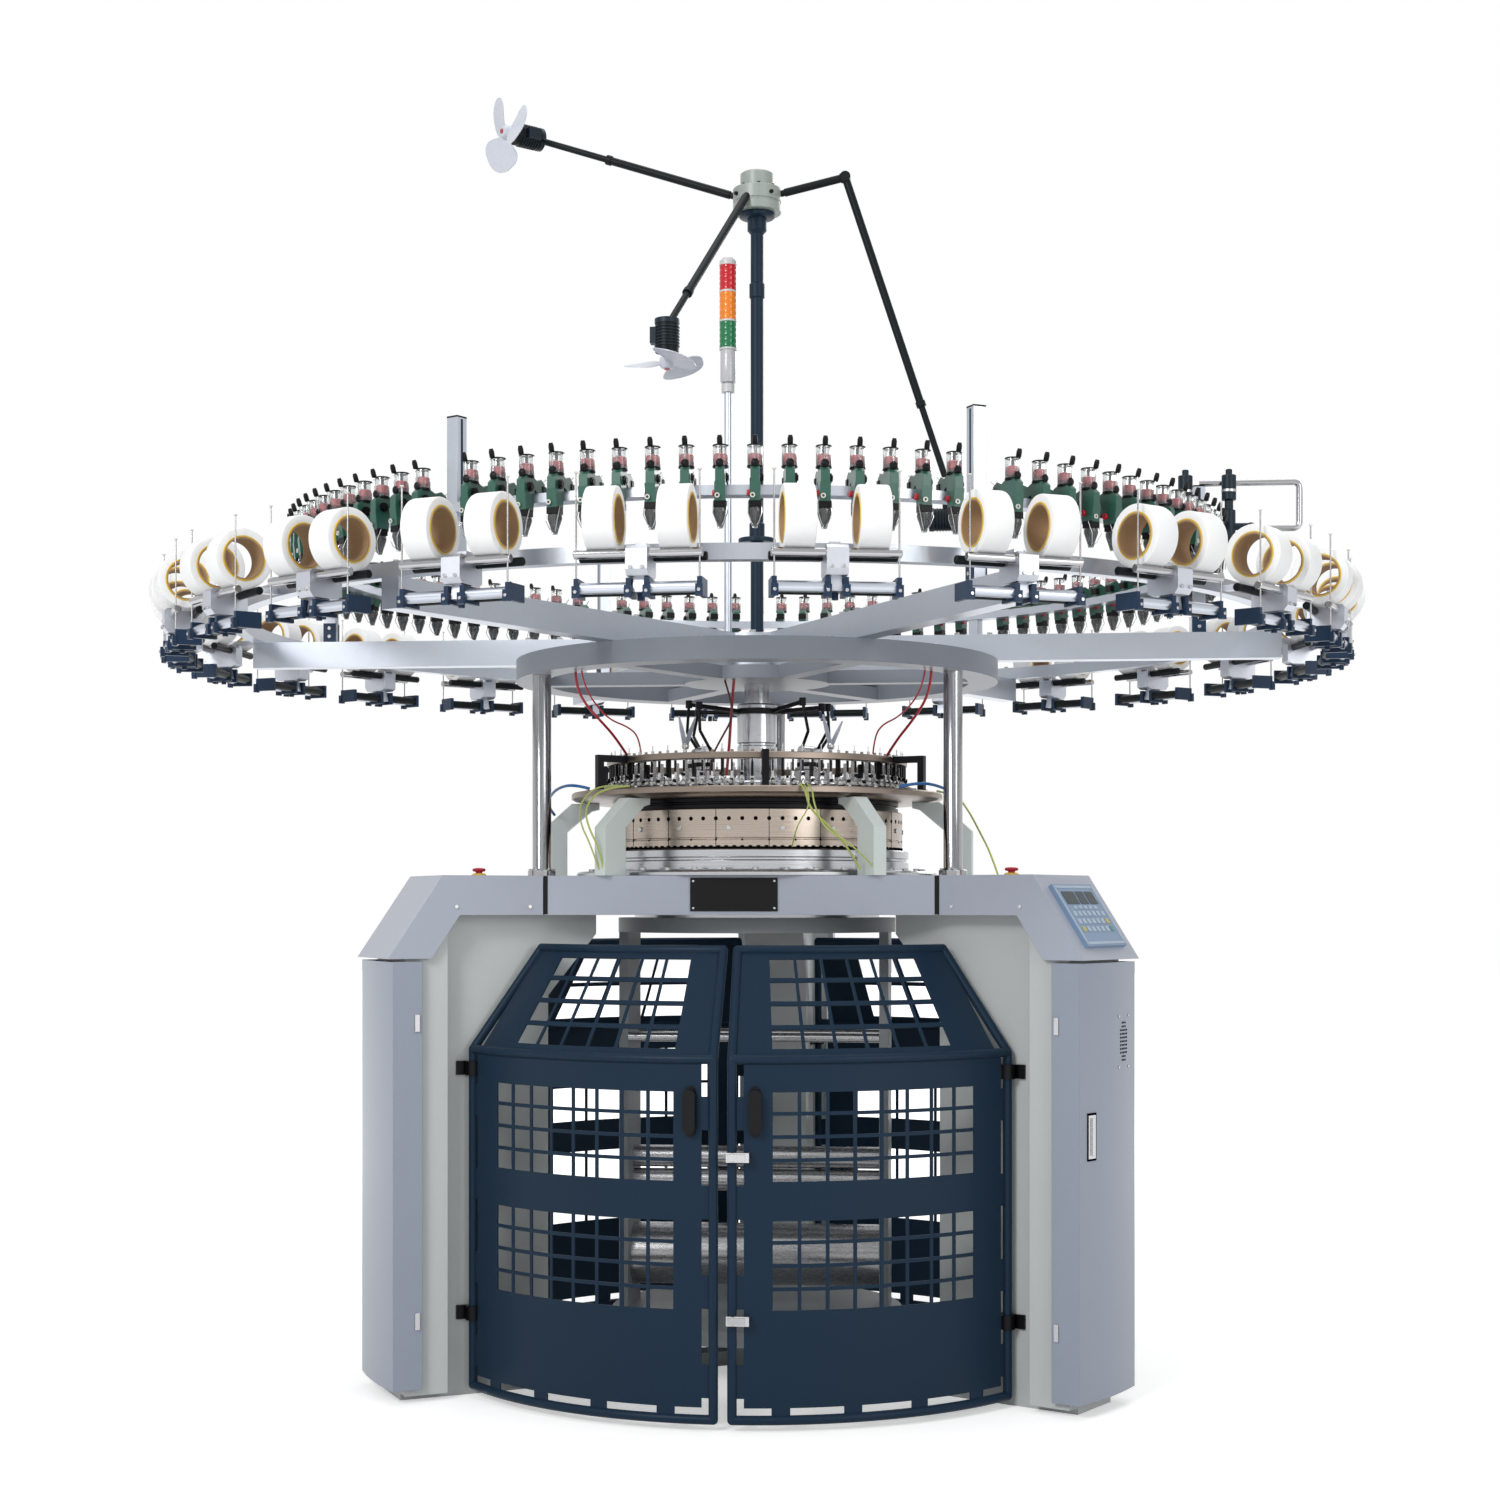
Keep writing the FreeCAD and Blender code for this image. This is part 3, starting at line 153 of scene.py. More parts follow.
class Shape:
    """A mesh under construction in the row frame, in metres."""

    def __init__(self) -> None:
        """Start an empty shape."""
        self.points: list[Vector] = []
        self.faces: list[tuple[int, ...]] = []

    def add(self, points: Iterable[Sequence[float]], faces: Iterable[Sequence[int]], place: Matrix) -> None:
        """Add points and faces at a place.

        Args:
            points: Corner points in the place's own axes.
            faces: Loops of indices into those points.
            place: Where they go in the row frame.
        """
        first = len(self.points)
        self.points.extend(place @ Vector(point) for point in points)
        self.faces.extend(tuple(first + index for index in face) for face in faces)

    def slab(self, low: Sequence[float], high: Sequence[float], place: Matrix = Matrix.Identity(4)) -> None:
        """Add a box.

        Args:
            low: Lowest corner.
            high: Highest corner.
            place: Where it goes in the row frame.
        """
        (ax, ay, az), (bx, by, bz) = low, high
        outline = [(ax, ay), (bx, ay), (bx, by), (ax, by)]
        self.prism(outline, az, bz, place)

    def prism(self, outline: Sequence[Sequence[float]], low: float, high: float,
            place: Matrix = Matrix.Identity(4)) -> None:
        """Add a straight prism on an outline.

        Args:
            outline: Points in x and y, counterclockwise.
            low: Height of its underside.
            high: Height of its top.
            place: Where it goes in the row frame.
        """
        count = len(outline)
        points = [(x, y, low) for x, y in outline] + [(x, y, high) for x, y in outline]
        faces = [tuple(reversed(range(count))), tuple(range(count, 2 * count))]
        for index in range(count):
            following = (index + 1) % count
            faces.append((index, following, count + following, count + index))
        self.add(points, faces, place)

    def lathe(self, profile: Sequence[Sequence[float]], place: Matrix = Matrix.Identity(4),
            segments: int = 32, closed: bool = False) -> None:
        """Add a profile turned about the place's z axis.

        Args:
            profile: Points as radius and height, upwards along the outside.
            place: Where it goes in the row frame.
            segments: Number of steps round.
            closed: Whether the last point joins the first, as in a ring.
        """
        count = len(profile)
        points = []
        for step in range(segments):
            angle = FULL_TURN * step / segments
            points.extend((r * math.cos(angle), r * math.sin(angle), z) for r, z in profile)
        faces = []
        pairs = count if closed else count - 1
        for step in range(segments):
            here, there = step * count, (step + 1) % segments * count
            for index in range(pairs):
                following = (index + 1) % count
                faces.append((here + index, there + index, there + following, here + following))
        if not closed:
            faces.append(tuple(step * count for step in reversed(range(segments))))
            faces.append(tuple(step * count + count - 1 for step in range(segments)))
        self.add(points, faces, place)

    def rod(self, start: Vector, end: Vector, radius: float, segments: int = 16,
            edge: float = 0.0006) -> None:
        """Add a round bar with chamfered ends.

        Args:
            start: Middle of its first end.
            end: Middle of its other end.
            radius: Its radius.
            segments: Number of steps round.
            edge: Width of the chamfer at its ends.
        """
        way = end - start
        length = way.length
        profile = [(radius - edge, 0), (radius, edge), (radius, length - edge), (radius - edge, length)]
        self.lathe(profile, along(start, way), segments)

    def bar(self, place: Matrix, start: Sequence[float], end: Sequence[float], radius: float,
            segments: int = 16, edge: float = 0.0006) -> None:
        """Add a round bar between two points of a place.

        Args:
            place: The place whose axes the points have.
            start: Middle of its first end.
            end: Middle of its other end.
            radius: Its radius.
            segments: Number of steps round.
            edge: Width of the chamfer at its ends.
        """
        self.rod(place @ Vector(start), place @ Vector(end), radius, segments, edge)

    def stud(self, foot: Vector, rise: float, radius: float, segments: int) -> None:
        """Add a short upright bar, such as a screw's head.

        Args:
            foot: Middle of its lower end.
            rise: Its height.
            radius: Its radius.
            segments: Number of steps round.
        """
        self.rod(foot, foot + Vector((0, 0, rise)), radius, segments)

    def tube(self, path: Sequence[Vector], radius: float, segments: int = 8) -> None:
        """Add a round tube along a path.

        Args:
            path: Points along its middle line.
            radius: Its radius.
            segments: Number of steps round.
        """
        points, faces = [], []
        side = None
        for index, point in enumerate(path):
            before, after = path[max(index - 1, 0)], path[min(index + 1, len(path) - 1)]
            way = (after - before).normalized()
            if side is None:
                side = way.orthogonal().normalized()
            side = (side - way * side.dot(way)).normalized()
            other = way.cross(side)
            for step in range(segments):
                angle = FULL_TURN * step / segments
                points.append(point + side * radius * math.cos(angle) + other * radius * math.sin(angle))
        for index in range(len(path) - 1):
            for step in range(segments):
                following = (step + 1) % segments
                here, there = index * segments, (index + 1) * segments
                faces.append((here + step, here + following, there + following, there + step))
        faces.append(tuple(reversed(range(segments))))
        faces.append(tuple((len(path) - 1) * segments + step for step in range(segments)))
        self.add(points, faces, Matrix.Identity(4))

    def piece(self, name: str, finish: bpy.types.Material, body: Body, slot: str | None = None,
            stands_for: Sequence[str] = ()) -> bpy.types.Object:
        """Turn the shape into an object that rides on a body.

        Args:
            name: Name of the piece.
            finish: Its material.
            body: The CAD body it moves with.
            slot: Name of the record's material slot for its finish; not used.
            stands_for: CAD nodes that it replaces.

        Returns:
            The new object.
        """
        mesh = bpy.data.meshes.new(name)
        mesh.from_pydata(self.points, [], self.faces)
        mesh.validate()
        mesh.polygons.foreach_set("use_smooth", [True] * len(mesh.polygons))
        mesh.set_sharp_from_angle(angle=SHARP_ANGLE)
        mesh.materials.append(finish)
        made = bpy.data.objects.new(name, mesh)
        bpy.context.scene.collection.objects.link(made)
        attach(made, body.value)
        if stands_for:
            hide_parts(*stands_for)
        log.info("%s: %d faces on %s", name, len(mesh.polygons), body.value)
        return made


class Nodes:
    """A node tree under construction."""

    def __init__(self, tree: bpy.types.NodeTree) -> None:
        """Start on an empty tree.

        Args:
            tree: The tree that takes the nodes.
        """
        self.tree = tree
        tree.nodes.clear()

    def new(self, kind: str, inputs: dict | None = None, **settings: object) -> bpy.types.Node:
        """Add a node.

        Args:
            kind: The node's type.
            inputs: Values or sockets for its inputs, by name or index.
            **settings: Its properties.

        Returns:
            The new node.
        """
        node = self.tree.nodes.new(kind)
        for key, value in settings.items():
            setattr(node, key, value)
        for key, value in (inputs or {}).items():
            if isinstance(value, bpy.types.NodeSocket):
                self.tree.links.new(value, node.inputs[key])
            else:
                node.inputs[key].default_value = value
        return node

    def math(self, operation: str, first: object, second: object = 0.0) -> bpy.types.NodeSocket:
        """Add a sum on one or two values.

        Args:
            operation: The name of the operation.
            first: Its first value or socket.
            second: Its second value or socket.

        Returns:
            The result's socket.
        """
        return self.new("ShaderNodeMath", {0: first, 1: second}, operation=operation).outputs[0]

    def place(self) -> bpy.types.NodeSocket:
        """Give the point that is shaded, in the piece's own axes."""
        return self.new("ShaderNodeTexCoord").outputs["Object"]

    def noise(self, place: bpy.types.NodeSocket, scale: object, detail: float,
            roughness: float = 0.5) -> bpy.types.NodeSocket:
        """Add a soft random pattern.

        Args:
            place: Where it is read.
            scale: How fine it is.
            detail: How many finer layers it has.
            roughness: How strong the finer layers are.

        Returns:
            The pattern's socket, about 0 to 1.
        """
        return self.new("ShaderNodeTexNoise", {"Vector": place, "Scale": scale, "Detail": detail,
            "Roughness": roughness}).outputs["Fac"]

    def relief(self, height: bpy.types.NodeSocket, distance: object, strength: float,
            edge: object) -> bpy.types.NodeSocket:
        """Add a bump over edges that look rounded.

        Args:
            height: The pattern that is raised.
            distance: How far it is raised, in metres.
            strength: How much of it shows.
            edge: Radius of the rounding in metres.

        Returns:
            The normal's socket.
        """
        smooth = self.new("ShaderNodeBevel", {"Radius": edge}, samples=EDGE_SAMPLES).outputs["Normal"]
        return self.new("ShaderNodeBump", {"Height": height, "Distance": distance, "Strength": strength,
            "Normal": smooth}).outputs["Normal"]


COLOR, VALUE, VECTOR = "NodeSocketColor", "NodeSocketFloat", "NodeSocketVector"


def group(name: str, inputs: dict[str, tuple[str, object]],
        outputs: dict[str, str]) -> tuple[Nodes, dict, dict]:
    """Make an empty shader node group.

    Args:
        name: Name of the group.
        inputs: Socket type and default by input name.
        outputs: Socket type by output name.

    Returns:
        The tree under construction, its input sockets by name and its output node's sockets by name.
    """
    tree = bpy.data.node_groups.new(name, "ShaderNodeTree")
    for label, (kind, value) in inputs.items():
        tree.interface.new_socket(label, in_out="INPUT", socket_type=kind).default_value = value
    for label, kind in outputs.items():
        tree.interface.new_socket(label, in_out="OUTPUT", socket_type=kind)
    made = Nodes(tree)
    start, end = made.new("NodeGroupInput"), made.new("NodeGroupOutput")
    ins = {label: start.outputs[label] for label in inputs}
    outs = {label: end.inputs[label] for label in outputs}
    return made, ins, outs


class Effects:
    """The shader node groups that the materials share."""

    def __init__(self) -> None:
        """Make every group."""
        self.wear = self.make_wear()
        self.peel = self.make_peel()
        self.turning = self.make_turning()
        self.brushing = self.make_brushing()
        self.dust = self.make_dust()
        log.info("made %d shader node groups", len(bpy.data.node_groups))

    def make_wear(self) -> bpy.types.NodeTree:
        """Make the group that varies a colour and a roughness in soft patches.

        Returns:
            The node group, with outputs Color and Roughness.
        """
        nodes, ins, outs = group("patchy_wear", {"Color": (COLOR, (0.5, 0.5, 0.5, 1)),
            "Roughness": (VALUE, 0.4), "Amount": (VALUE, 0.1), "Scale": (VALUE, 3.0)},
            {"Color": COLOR, "Roughness": VALUE})
        place = nodes.place()
        broad = nodes.noise(place, ins["Scale"], 4.0, 0.55)
        fine = nodes.noise(place, nodes.math("MULTIPLY", ins["Scale"], 14.0), 3.0)
        mixed = nodes.math("ADD", nodes.math("MULTIPLY", broad, 0.7), nodes.math("MULTIPLY", fine, 0.3))
        centred = nodes.math("MULTIPLY", nodes.math("SUBTRACT", mixed, 0.5), ins["Amount"])
        gain = nodes.math("ADD", 1.0, nodes.math("MULTIPLY", centred, 2.0))
        color = nodes.new("ShaderNodeHueSaturation", {"Color": ins["Color"], "Value": gain}).outputs["Color"]
        rough = nodes.math("ADD", ins["Roughness"], centred)
        nodes.tree.links.new(color, outs["Color"])
        nodes.tree.links.new(rough, outs["Roughness"])
        return nodes.tree

    def make_peel(self) -> bpy.types.NodeTree:
        """Make the group that gives paint its faint orange peel and softened edges.

        Returns:
            The node group, with output Normal.
        """
        nodes, ins, outs = group("orange_peel", {"Scale": (VALUE, 260.0), "Height": (VALUE, 0.0002),
            "Edge": (VALUE, 0.0015)}, {"Normal": VECTOR})
        grain = nodes.noise(nodes.place(), ins["Scale"], 1.0)
        bump = nodes.relief(grain, ins["Height"], 0.6, ins["Edge"])
        nodes.tree.links.new(bump, outs["Normal"])
        return nodes.tree

    def make_turning(self) -> bpy.types.NodeTree:
        """Make the group of the fine grooves that a lathe leaves round the machine's axis.

        Returns:
            The node group, with outputs Shade, Roughness and Normal.
        """
        nodes, ins, outs = group("lathe_grooves", {"Pitch": (VALUE, 900.0), "Depth": (VALUE, 0.0001),
            "Roughness": (VALUE, 0.25)}, {"Shade": VALUE, "Roughness": VALUE, "Normal": VECTOR})
        parts = nodes.new("ShaderNodeSeparateXYZ", {0: nodes.place()}).outputs
        squares = nodes.math("ADD", nodes.math("MULTIPLY", parts["X"], parts["X"]),
            nodes.math("MULTIPLY", parts["Y"], parts["Y"]))
        reach = nodes.math("SQRT", squares)
        angle = nodes.math("ARCTAN2", parts["Y"], parts["X"])
        flat = nodes.new("ShaderNodeCombineXYZ", {
            "X": nodes.math("MULTIPLY", reach, ins["Pitch"]),
            "Y": nodes.math("MULTIPLY", angle, 2.0),
            "Z": nodes.math("MULTIPLY", parts["Z"], ins["Pitch"])}).outputs[0]
        grooves = nodes.noise(flat, 1.0, 3.0)
        bump = nodes.relief(grooves, ins["Depth"], 0.7, METAL_EDGE)
        centred = nodes.math("SUBTRACT", grooves, 0.5)
        rough = nodes.math("ADD", ins["Roughness"], nodes.math("MULTIPLY", centred, 0.25))
        shade = nodes.math("ADD", 1.0, nodes.math("MULTIPLY", centred, 0.22))
        nodes.tree.links.new(shade, outs["Shade"])
        nodes.tree.links.new(rough, outs["Roughness"])
        nodes.tree.links.new(bump, outs["Normal"])
        return nodes.tree

    def make_brushing(self) -> bpy.types.NodeTree:
        """Make the group of straight brushed or drawn lines along one axis.

        Returns:
            The node group, with outputs Roughness and Normal.
        """
        nodes, ins, outs = group("drawn_lines", {"Stretch": (VECTOR, (40.0, 40.0, 900.0)),
            "Roughness": (VALUE, 0.3), "Depth": (VALUE, 0.0001)}, {"Roughness": VALUE, "Normal": VECTOR})
        flat = nodes.new("ShaderNodeVectorMath", {0: nodes.place(), 1: ins["Stretch"]},
            operation="MULTIPLY").outputs[0]
        lines = nodes.noise(flat, 1.0, 2.0)
        bump = nodes.relief(lines, ins["Depth"], 0.4, METAL_EDGE)
        centred = nodes.math("SUBTRACT", lines, 0.5)
        rough = nodes.math("ADD", ins["Roughness"], nodes.math("MULTIPLY", centred, 0.2))
        nodes.tree.links.new(rough, outs["Roughness"])
        nodes.tree.links.new(bump, outs["Normal"])
        return nodes.tree

    def make_dust(self) -> bpy.types.NodeTree:
        """Make the group that settles pale lint on faces that look up.

        Returns:
            The node group, with output Mask.
        """
        nodes, ins, outs = group("settled_lint", {"Amount": (VALUE, 0.2)}, {"Mask": VALUE})
        normal = nodes.new("ShaderNodeNewGeometry").outputs["Normal"]
        up = nodes.new("ShaderNodeSeparateXYZ", {0: normal}).outputs["Z"]
        speck = nodes.noise(nodes.place(), 60.0, 5.0)
        facing = nodes.math("MAXIMUM", up, 0.0)
        mask = nodes.math("MULTIPLY", nodes.math("MULTIPLY", facing, speck), ins["Amount"])
        nodes.tree.links.new(mask, outs["Mask"])
        return nodes.tree


EFFECTS = Effects()


def grouped(nodes: Nodes, tree: bpy.types.NodeTree, inputs: dict) -> bpy.types.NodeOutputs:
    """Put a shared node group into a material.

    Args:
        nodes: The material's tree under construction.
        tree: The node group.
        inputs: Values or sockets for its inputs.

    Returns:
        The group's output sockets.
    """
    return nodes.new("ShaderNodeGroup", inputs, node_tree=tree).outputs


def rgba(color: Sequence[float]) -> tuple[float, float, float, float]:
    """Give a colour with full alpha.

    Args:
        color: Red, green and blue, linear.

    Returns:
        The colour with alpha 1.
    """
    return (*color, 1.0)


def finished(name: str) -> tuple[bpy.types.Material, Nodes]:
    """Make an empty node material.

    Args:
        name: Name of the material.

    Returns:
        The material and its tree under construction.
    """
    material = bpy.data.materials.new(name)
    material.use_nodes = True
    return material, Nodes(material.node_tree)


def shaded(nodes: Nodes, inputs: dict) -> None:
    """End a material with one principled shader.

    Args:
        nodes: The material's tree under construction.
        inputs: Values or sockets for the shader.
    """
    shader = nodes.new("ShaderNodeBsdfPrincipled", inputs).outputs[0]
    nodes.new("ShaderNodeOutputMaterial", {"Surface": shader})


def mixed(nodes: Nodes, factor: bpy.types.NodeSocket, first: object, second: object) -> bpy.types.NodeSocket:
    """Mix two colours by a mask.

    Args:
        nodes: The material's tree under construction.
        factor: The mask's socket.
        first: Colour or socket where the mask is 0.
        second: Colour or socket where the mask is 1.

    Returns:
        The mixed colour's socket.
    """
    return nodes.new("ShaderNodeMix", {0: factor, 6: first, 7: second}, data_type="RGBA").outputs[2]


@dataclass(frozen=True)
class Paint:
    """A sprayed paint on sheet metal or castings."""

    name: str
    color: tuple[float, float, float]
    roughness: float = 0.38
    coat: float = 0.08
    wear: float = 0.05
    lint: float = 0.03
    scale: float = 2.5
    specular: float = 0.4

    def build(self) -> bpy.types.Material:
        """Make the paint's material.

        Returns:
            The material.
        """
        material, nodes = finished(self.name)
        worn = grouped(nodes, EFFECTS.wear, {"Color": rgba(self.color), "Roughness": self.roughness,
            "Amount": self.wear, "Scale": self.scale})
        mask = grouped(nodes, EFFECTS.dust, {"Amount": self.lint})["Mask"]
        normal = grouped(nodes, EFFECTS.peel, {})["Normal"]
        color = mixed(nodes, mask, worn["Color"], rgba(LINT_COLOR))
        shaded(nodes, {"Base Color": color, "Roughness": worn["Roughness"], "Normal": normal,
            "Coat Weight": self.coat, "Coat Roughness": 0.2, "Specular IOR Level": self.specular})
        return material


@dataclass(frozen=True)
class TurnedSteel:
    """Steel turned on a lathe round the machine's axis."""

    name: str
    color: tuple[float, float, float]
    roughness: float = 0.24
    pitch: float = 500.0
    depth: float = 0.000012

    def build(self) -> bpy.types.Material:
        """Make the steel's material.

        Returns:
            The material.
        """
        material, nodes = finished(self.name)
        lathe = grouped(nodes, EFFECTS.turning, {"Pitch": self.pitch, "Depth": self.depth,
            "Roughness": self.roughness})
        color = nodes.new("ShaderNodeHueSaturation", {"Color": rgba(self.color), "Value": lathe["Shade"]})
        shaded(nodes, {"Base Color": color.outputs[0], "Metallic": 1.0, "Roughness": lathe["Roughness"],
            "Normal": lathe["Normal"], "Anisotropic": 0.5})
        return material


@dataclass(frozen=True)
class DrawnMetal:
    """Drawn, rolled or plated metal with faint straight lines."""

    name: str
    color: tuple[float, float, float]
    roughness: float = 0.3
    stretch: tuple[float, float, float] = (40.0, 40.0, 900.0)
    depth: float = 0.00006

    def build(self) -> bpy.types.Material:
        """Make the metal's material.

        Returns:
            The material.
        """
        material, nodes = finished(self.name)
        lines = grouped(nodes, EFFECTS.brushing, {"Stretch": self.stretch, "Roughness": self.roughness,
            "Depth": self.depth})
        worn = grouped(nodes, EFFECTS.wear, {"Color": rgba(self.color), "Amount": 0.08, "Scale": 5.0})
        shaded(nodes, {"Base Color": worn["Color"], "Metallic": 1.0, "Roughness": lines["Roughness"],
            "Normal": lines["Normal"]})
        return material


@dataclass(frozen=True)
class Plastic:
    """Moulded plastic, rubber, cardboard or cable sheath."""

    name: str
    color: tuple[float, float, float]
    roughness: float = 0.4
    wear: float = 0.06
    transmission: float = 0.0
    glow: float = 0.0
    specular: float = 0.5

    def build(self) -> bpy.types.Material:
        """Make the plastic's material.

        Returns:
            The material.
        """
        material, nodes = finished(self.name)
        worn = grouped(nodes, EFFECTS.wear, {"Color": rgba(self.color), "Roughness": self.roughness,
            "Amount": self.wear, "Scale": 9.0})
        shaded(nodes, {"Base Color": worn["Color"], "Roughness": worn["Roughness"],
            "Transmission Weight": self.transmission, "IOR": 1.46, "Specular IOR Level": self.specular,
            "Emission Color": rgba(self.color), "Emission Strength": self.glow})
        return material


@dataclass(frozen=True)
class WoundYarn:
    """Fine white yarn wound side by side round a spool."""

    name: str
    color: tuple[float, float, float]

    def build(self) -> bpy.types.Material:
        """Make the yarn's material.

        Returns:
            The material.
        """
        material, nodes = finished(self.name)
        strands = nodes.noise(nodes.place(), 420.0, 2.0)
        bump = nodes.new("ShaderNodeBump", {"Height": strands, "Distance": 0.0006,
            "Strength": 0.5}).outputs[0]
        worn = grouped(nodes, EFFECTS.wear, {"Color": rgba(self.color), "Roughness": 0.6, "Amount": 0.05,
            "Scale": 12.0})
        shaded(nodes, {"Base Color": worn["Color"], "Roughness": worn["Roughness"], "Normal": bump,
            "Sheen Weight": 0.4, "Subsurface Weight": 0.05})
        return material


HOOD_PAINT = Paint("hood_paint", (0.345, 0.372, 0.440)).build()
DOOR_PAINT = Paint("door_paint", (0.255, 0.285, 0.352)).build()
LEG_PAINT = Paint("leg_paint", (0.475, 0.500, 0.495)).build()
ARM_PAINT = Paint("arm_paint", (0.600, 0.655, 0.635)).build()
RING_PAINT = Paint("ring_paint", (0.205, 0.225, 0.262), roughness=0.42).build()
GATE_PAINT = Paint("gate_paint", (0.008, 0.022, 0.043), roughness=0.40, coat=0.0, lint=0.0,
    specular=0.12).build()
MAST_PAINT = Paint("mast_paint", (0.010, 0.024, 0.042), roughness=0.4, coat=0.0, lint=0.0,
    specular=0.15).build()
BOOM_PAINT = Paint("boom_paint", (0.005, 0.008, 0.009), roughness=0.42, coat=0.0, lint=0.0,
    specular=0.12).build()
HUB_PAINT = Paint("hub_paint", (0.300, 0.335, 0.310), roughness=0.4).build()
TAKEDOWN_PAINT = Paint("takedown_paint", (0.250, 0.270, 0.285), roughness=0.5).build()
MOTOR_PAINT = Paint("motor_paint", (0.008, 0.018, 0.028), roughness=0.4, coat=0.0, lint=0.0,
    specular=0.2).build()
FEEDER_PAINT = Paint("feeder_paint", (0.022, 0.098, 0.068), roughness=0.33, coat=0.2, lint=0.02).build()
CHROME = DrawnMetal("column_chrome", (0.37, 0.37, 0.38), roughness=0.13, depth=0.000004).build()
BRIGHT = DrawnMetal("bright_steel", (0.46, 0.46, 0.47), roughness=0.26, depth=0.00002).build()
ALUMINIUM = DrawnMetal("creel_aluminium", (0.47, 0.50, 0.555), roughness=0.34,
    stretch=(300.0, 300.0, 30.0), depth=0.00002).build()
UNIT_METAL = DrawnMetal("unit_aluminium", (0.50, 0.52, 0.57), roughness=0.42,
    stretch=(200.0, 200.0, 60.0), depth=0.00002).build()
UNIT_DARK = Paint("unit_dark", (0.014, 0.032, 0.068), roughness=0.4, coat=0.0, lint=0.0, specular=0.2).build()
HEAD_STEEL = TurnedSteel("head_steel", (0.41, 0.352, 0.302)).build()
PLATE_STEEL = TurnedSteel("plate_steel", (0.235, 0.192, 0.160), roughness=0.32).build()
CYLINDER_STEEL = TurnedSteel("cylinder_steel", (0.46, 0.47, 0.49), roughness=0.2).build()
BLACK_STEEL = TurnedSteel("blackened_steel", (0.014, 0.014, 0.016), roughness=0.35).build()
BLACK = Plastic("black_plastic", (0.006, 0.006, 0.007), roughness=0.38, specular=0.16).build()
# Flat black without sheen: painted shade that fills holes, slots, recesses and the gap at the foot of the cam
# boxes; it also colours the dark joint lines of the cam boxes
HOLE_SHADE_AND_JOINTS = Plastic("painted_hole_shade_and_joints", (0.003, 0.003, 0.003), roughness=0.8, wear=0.0, specular=0.0).build()
CERAMIC = Plastic("white_ceramic", (0.66, 0.65, 0.60), roughness=0.15).build()
RED = Plastic("feeder_red", (0.50, 0.010, 0.030), roughness=0.3).build()
BUTTON_RED = Plastic("button_red", (0.42, 0.008, 0.020), roughness=0.25).build()
JAR = Plastic("clear_jar", (0.86, 0.88, 0.88), roughness=0.06, transmission=0.92).build()
YARN = WoundYarn("spool_yarn", (0.86, 0.865, 0.87)).build()
RIM = Plastic("spool_rim", (0.70, 0.47, 0.06), roughness=0.5).build()
CORE = Plastic("spool_core", (0.36, 0.225, 0.115), roughness=0.75).build()
FAN_WHITE = Plastic("fan_plastic", (0.56, 0.59, 0.66), roughness=0.28).build()
LAMP_WHITE = Plastic("lamp_housing", (0.55, 0.55, 0.56), roughness=0.35).build()
PANEL_FILM = Plastic("panel_film", (0.170, 0.255, 0.385), roughness=0.35).build()
KEY_PALE = Plastic("key_pale", (0.34, 0.42, 0.52), roughness=0.35).build()
KEY_DARK = Plastic("key_dark", (0.020, 0.036, 0.042), roughness=0.2, specular=0.25).build()
KEY_AMBER = Plastic("key_amber", (0.42, 0.36, 0.09), roughness=0.35).build()
KEY_GREEN = Plastic("key_green", (0.05, 0.22, 0.20), roughness=0.35).build()
CABLE_RED = Plastic("cable_red", (0.38, 0.010, 0.022), roughness=0.35).build()
CABLE_BLUE = Plastic("hose_blue", (0.012, 0.120, 0.340), roughness=0.25).build()
CABLE_DARK = Plastic("cable_dark", (0.090, 0.006, 0.016), roughness=0.4).build()
CABLE_LIME = Plastic("cable_lime", (0.40, 0.46, 0.12), roughness=0.4).build()


@dataclass
class CadFinishes:
    """The finishes of the CAD nodes that show as they are."""

    dressed: tuple[tuple[bpy.types.Material, str, tuple[str, ...]], ...] = (
        (LEG_PAINT, "leg_paint", ("leg_left", "leg_right", "leg_back", "base_tie")),
        (HOOD_PAINT, "hood_paint", ("hood_left", "hood_right", "hood_back", "bed")),
        (DOOR_PAINT, "door_paint", ("leg_door_left", "leg_door_right", "leg_door_back")),
        (GATE_PAINT, "gate_paint", ("gate_front_right", "gate_front_left", "gates_right", "gates_left")),
        (BLACK_STEEL, "dark_steel", ("gate_clamps", "guide_brackets")),
        (BRIGHT, "column_chrome", ("gate_latches",)),
        (BRIGHT, "roll_steel", ("leg_door_hinges", "takedown_rollers", "cloth_roll")),
        (BLACK, "black_plastic", ("gate_handle_right", "gate_handle_left")),
        (RING_PAINT, "ring_paint", ("top_ring",)),
        (TAKEDOWN_PAINT, "ring_paint", ("takedown_frame",)),
        (ALUMINIUM, "creel_aluminium", ("creel_arms", "creel_posts", "creel_rail", "feeder_ring",
            "lamp_pole")),
        (ARM_PAINT, "arm_paint", ("head_arms",)),
        (CYLINDER_STEEL, "cylinder_steel", ("needle_cylinder",)),
        (BOOM_PAINT, "boom_paint", ("fan_booms",)),
        (PANEL_FILM, "panel_film", ("control_panel",)))

    def build(self) -> None:
        """Give each CAD node its material."""
        for material, slot_name, names in self.dressed:
            for name in names:
                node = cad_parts[name]
                node.data.materials.clear()
                node.data.materials.append(material)
            log.info("%s: %d CAD nodes", slot_name, len(names))


